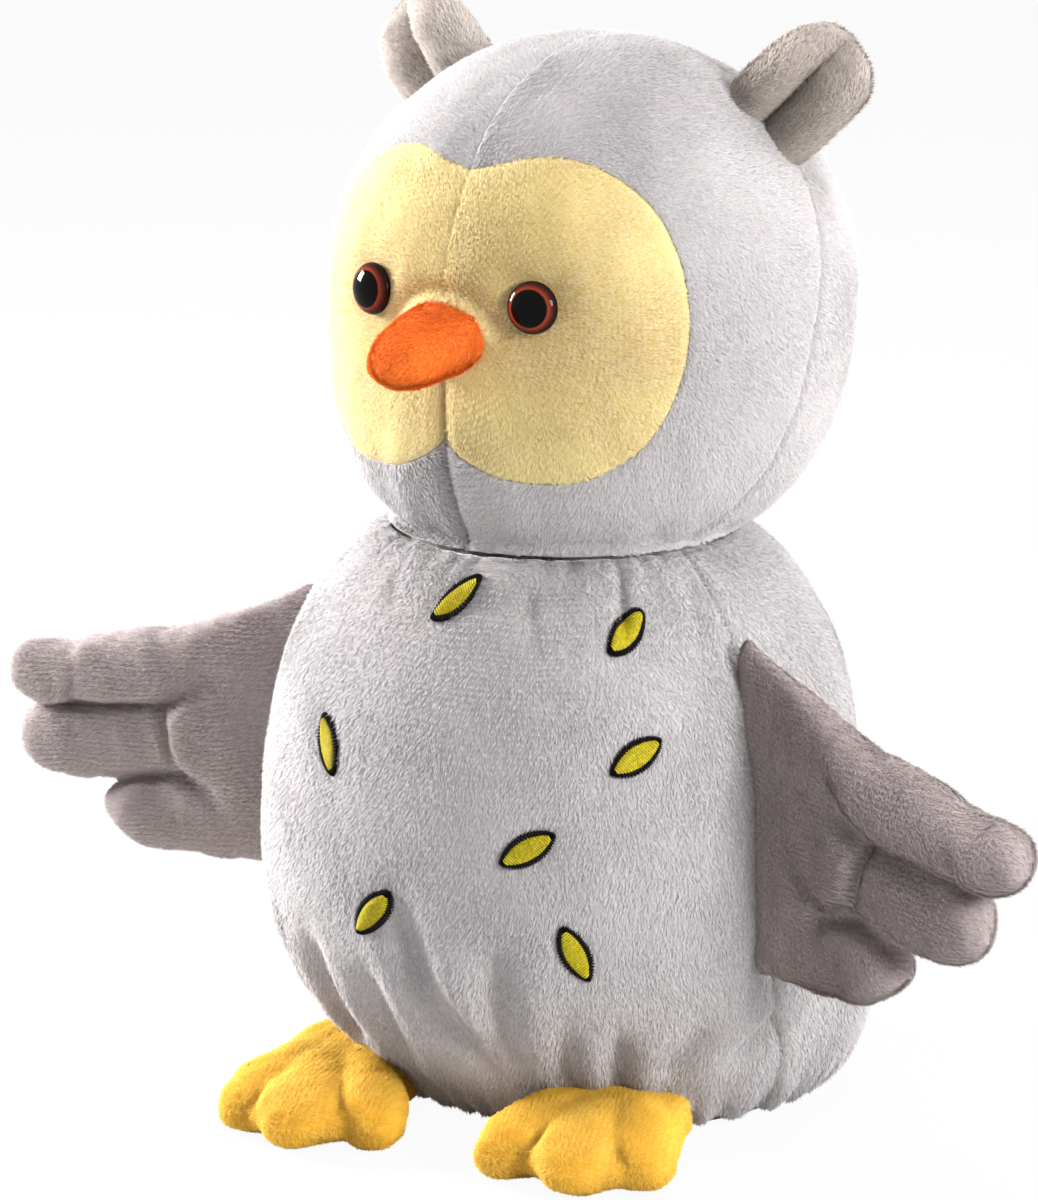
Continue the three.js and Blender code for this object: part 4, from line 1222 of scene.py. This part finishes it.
def tucked(places, depth):
    """Keeps points at most this deep under the body's cloth."""
    excess = np.maximum(body_depth(places) - depth, 0)
    centre = -BELLY_FORWARD * smooth_value(BODY_LEAN, np.clip(places[:, 2] / BODY_HEIGHT, 0, 1))
    away = np.stack((places[:, 0], places[:, 1] - centre, 0 * centre), -1)
    return places + unit(away) * excess[:, None]


def wing_folds(side):
    root, out, rise, front = wing_directions(side)

    def change(places, normals):
        off = places - root
        u, w = off @ out * 1000 / WING_SIZE[side], off @ rise * 1000 / WING_SIZE[side]
        w = w + WING_DROOP[side] * u
        dip = sum(crease(u, w, *line) for line in WING_CREASES) / 1000
        through = off @ front
        face_on = np.sign(through) * np.clip(np.abs(through) / 0.003, 0, 1)
        soft = 0.0005 * lumps(places, 0.02, 91) + 0.0002 * lumps(places, 0.008, 92)
        moved = places + front * (face_on * dip)[:, None] + normals * soft[:, None]
        return tucked(moved, depth=0.003)

    return change


def lay_map(bm, point, across, up, size):
    """Lays the piece's map flat along two directions."""
    layer = bm.loops.layers.uv.new("OFBake")
    for face in bm.faces:
        for loop in face.loops:
            off = np.array(loop.vert.co) - point
            loop[layer].uv = (off @ across / size + 0.5, off @ up / size + 0.5)


for word, side in SIDES:
    root, out, rise, front = wing_directions(side)

    def wing_rows(points):
        return (points - root) @ (rise + 0.1 * out)

    whole = welded(wing_bags(side, inset=0.0004), voxel=0.0011, times=3)
    reshape(whole, wing_folds(side))
    for layer, facing, seed in (("front", front, 93), ("back", -front, 95)):
        bm = whole.copy()
        keep_past(bm, root, facing)
        lay_map(bm, root + out * 0.045, out, rise, size=0.12)
        pile = {"locks": 60000, "nap": out - 0.3 * rise, "seed": seed + side}
        pile.update(rows=wing_rows, ribbed=0.8)
        name = f"wing_{layer}_{word}"
        wing = plush_piece(f"{name}_cloth", bm, None, "taupe_plush", name, taupe_plush, **pile)
        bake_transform(wing)
    whole.free()
    inside = welded(wing_bags(side, inset=UNDER_CLOTH), voxel=FILLING_VOXEL, times=1)
    reshape(inside, lambda places, normals: tucked(places, depth=0.001))
    filling = add_filling(f"wing_filling_{word}", inside, None)
    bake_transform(filling)

# ---- Feet ----
# Each foot is a flat golden plush bag with three toes, an upper and a sole sewn round the edge,
# stitched through between the toes and sewn up under the belly.

FOOT_LENGTH = 0.052
FOOT_HALF_HEIGHT = 0.009
FLOOR_FLAT = 0.0005
FOOT_OUTWARD = {1: 0.031, -1: 0.037}
FOOT_SPLAY = {1: math.radians(18), -1: math.radians(-11)}
TOE_TIP_FORWARD = {1: 0.093, -1: 0.102}
# The back part and the three toes: start and end in shares of the foot's length (outward, forward),
# half widths there, and how round the section is.
TOES = [
    ((0, -0.1), (0, 0.9), 0.3, 0.43, 0.7),
    ((-0.1, 0.3), (-0.44, 0.85), 0.2, 0.14, 0.9),
    ((0, 0.3), (-0.03, 1), 0.22, 0.18, 0.9),
    ((0.1, 0.3), (0.31, 0.86), 0.2, 0.15, 0.9),
]
# Stitched lines between the toes, as shares of the foot's length: both ends.
TOE_LINES = [((-0.2, 0.74), (-0.25, 1.0)), ((0.17, 0.78), (0.2, 1.0))]
# Half width as a share of the foot's length, and depth in metres.
TOE_CREASE = (0.032, 0.0028)
TOE_THINNING = 0.26
SOLE_HEIGHT = 0.0004
FOOT_PILE_LENGTH = 0.0011

gold_plush = plush("golden_polyester_plush", 0xD08A08, 0xFFEC7C, 0xF9C83A)


def foot_directions(side):
    splay = FOOT_SPLAY[side]
    heel_back = FOOT_LENGTH - TOE_TIP_FORWARD[side]
    heel = np.array((FOOT_OUTWARD[side] * side, heel_back, FOOT_HALF_HEIGHT - FLOOR_FLAT))
    outward = np.array((side * math.cos(splay), math.sin(splay), 0))
    forward = np.array((side * math.sin(splay), -math.cos(splay), 0))
    return heel, outward, forward


def foot_bag(side, inset, start, end, root_half, tip_half, full):
    """Lays the unit ball out as the foot's back part or as one toe."""
    heel, outward, forward = foot_directions(side)
    first = heel + (outward * start[0] + forward * start[1]) * FOOT_LENGTH + forward * inset
    last = heel + (outward * end[0] + forward * end[1]) * FOOT_LENGTH - forward * inset
    up = np.array((0, 0, 1.0))
    across = unit(np.cross(last - first, up))

    def half_across(share):
        return FOOT_LENGTH * (root_half + (tip_half - root_half) * share) - inset

    def half_through(share):
        return FOOT_HALF_HEIGHT * (1 - TOE_THINNING * share**2) - inset

    def place(points):
        laid = bag_on_line(points, first, last, across, up, half_across, half_through, 0.6, full)
        fall = FOOT_HALF_HEIGHT * TOE_THINNING * ((1 + points[:, 2]) / 2) ** 2
        return laid - up * fall[:, None]

    return place


def foot_bags(side, inset):
    return [foot_bag(side, inset, *toe) for toe in TOES]


def foot_folds(side):
    heel, outward, forward = foot_directions(side)

    def change(places, normals):
        off = (places - heel) / FOOT_LENGTH
        x, y = off @ outward, off @ forward
        dip = sum(crease(x, y, *start, *end, *TOE_CREASE) for start, end in TOE_LINES)
        height = places[:, 2] - heel[2]
        seam = 0.0003 * np.clip(1 - np.abs(height) / 0.0014, 0, 1) ** 2
        soft = 0.0004 * lumps(places, 0.016, 101) + 0.0002 * lumps(places, 0.006, 102)
        moved = places + normals * (soft - seam)[:, None]
        moved[:, 2] += np.clip(height / 0.004, 0, 1) * dip
        moved[:, 2] = np.maximum(moved[:, 2], SOLE_HEIGHT)
        return tucked(moved, depth=0.004)

    return change


for word, side in SIDES:
    heel, outward, forward = foot_directions(side)
    whole = welded(foot_bags(side, inset=0.0003), voxel=0.001, times=4)
    reshape(whole, foot_folds(side))
    middle = heel + forward * FOOT_LENGTH / 2
    nap = np.array((0, 0, -0.5)) - forward
    for layer, facing, locks in (("upper", (0, 0, 1), 40000), ("sole", (0, 0, -1), 30000)):
        bm = whole.copy()
        keep_past(bm, middle, facing)
        lay_map(bm, middle, outward, forward, size=0.08)
        pile = {"locks": locks, "nap": nap, "seed": 103 + side, "length": FOOT_PILE_LENGTH}
        pile.update(rows=outward, ribbed=0.5)
        name = f"foot_{layer}_{word}"
        plush_piece(f"{name}_cloth", bm, "body", "gold_plush", name, gold_plush, **pile)
    whole.free()
    inside = welded(foot_bags(side, inset=UNDER_CLOTH), voxel=FILLING_VOXEL, times=1)
    reshape(inside, lambda places, normals: tucked(places, depth=0.002))
    add_filling(f"foot_filling_{word}", inside, "body")
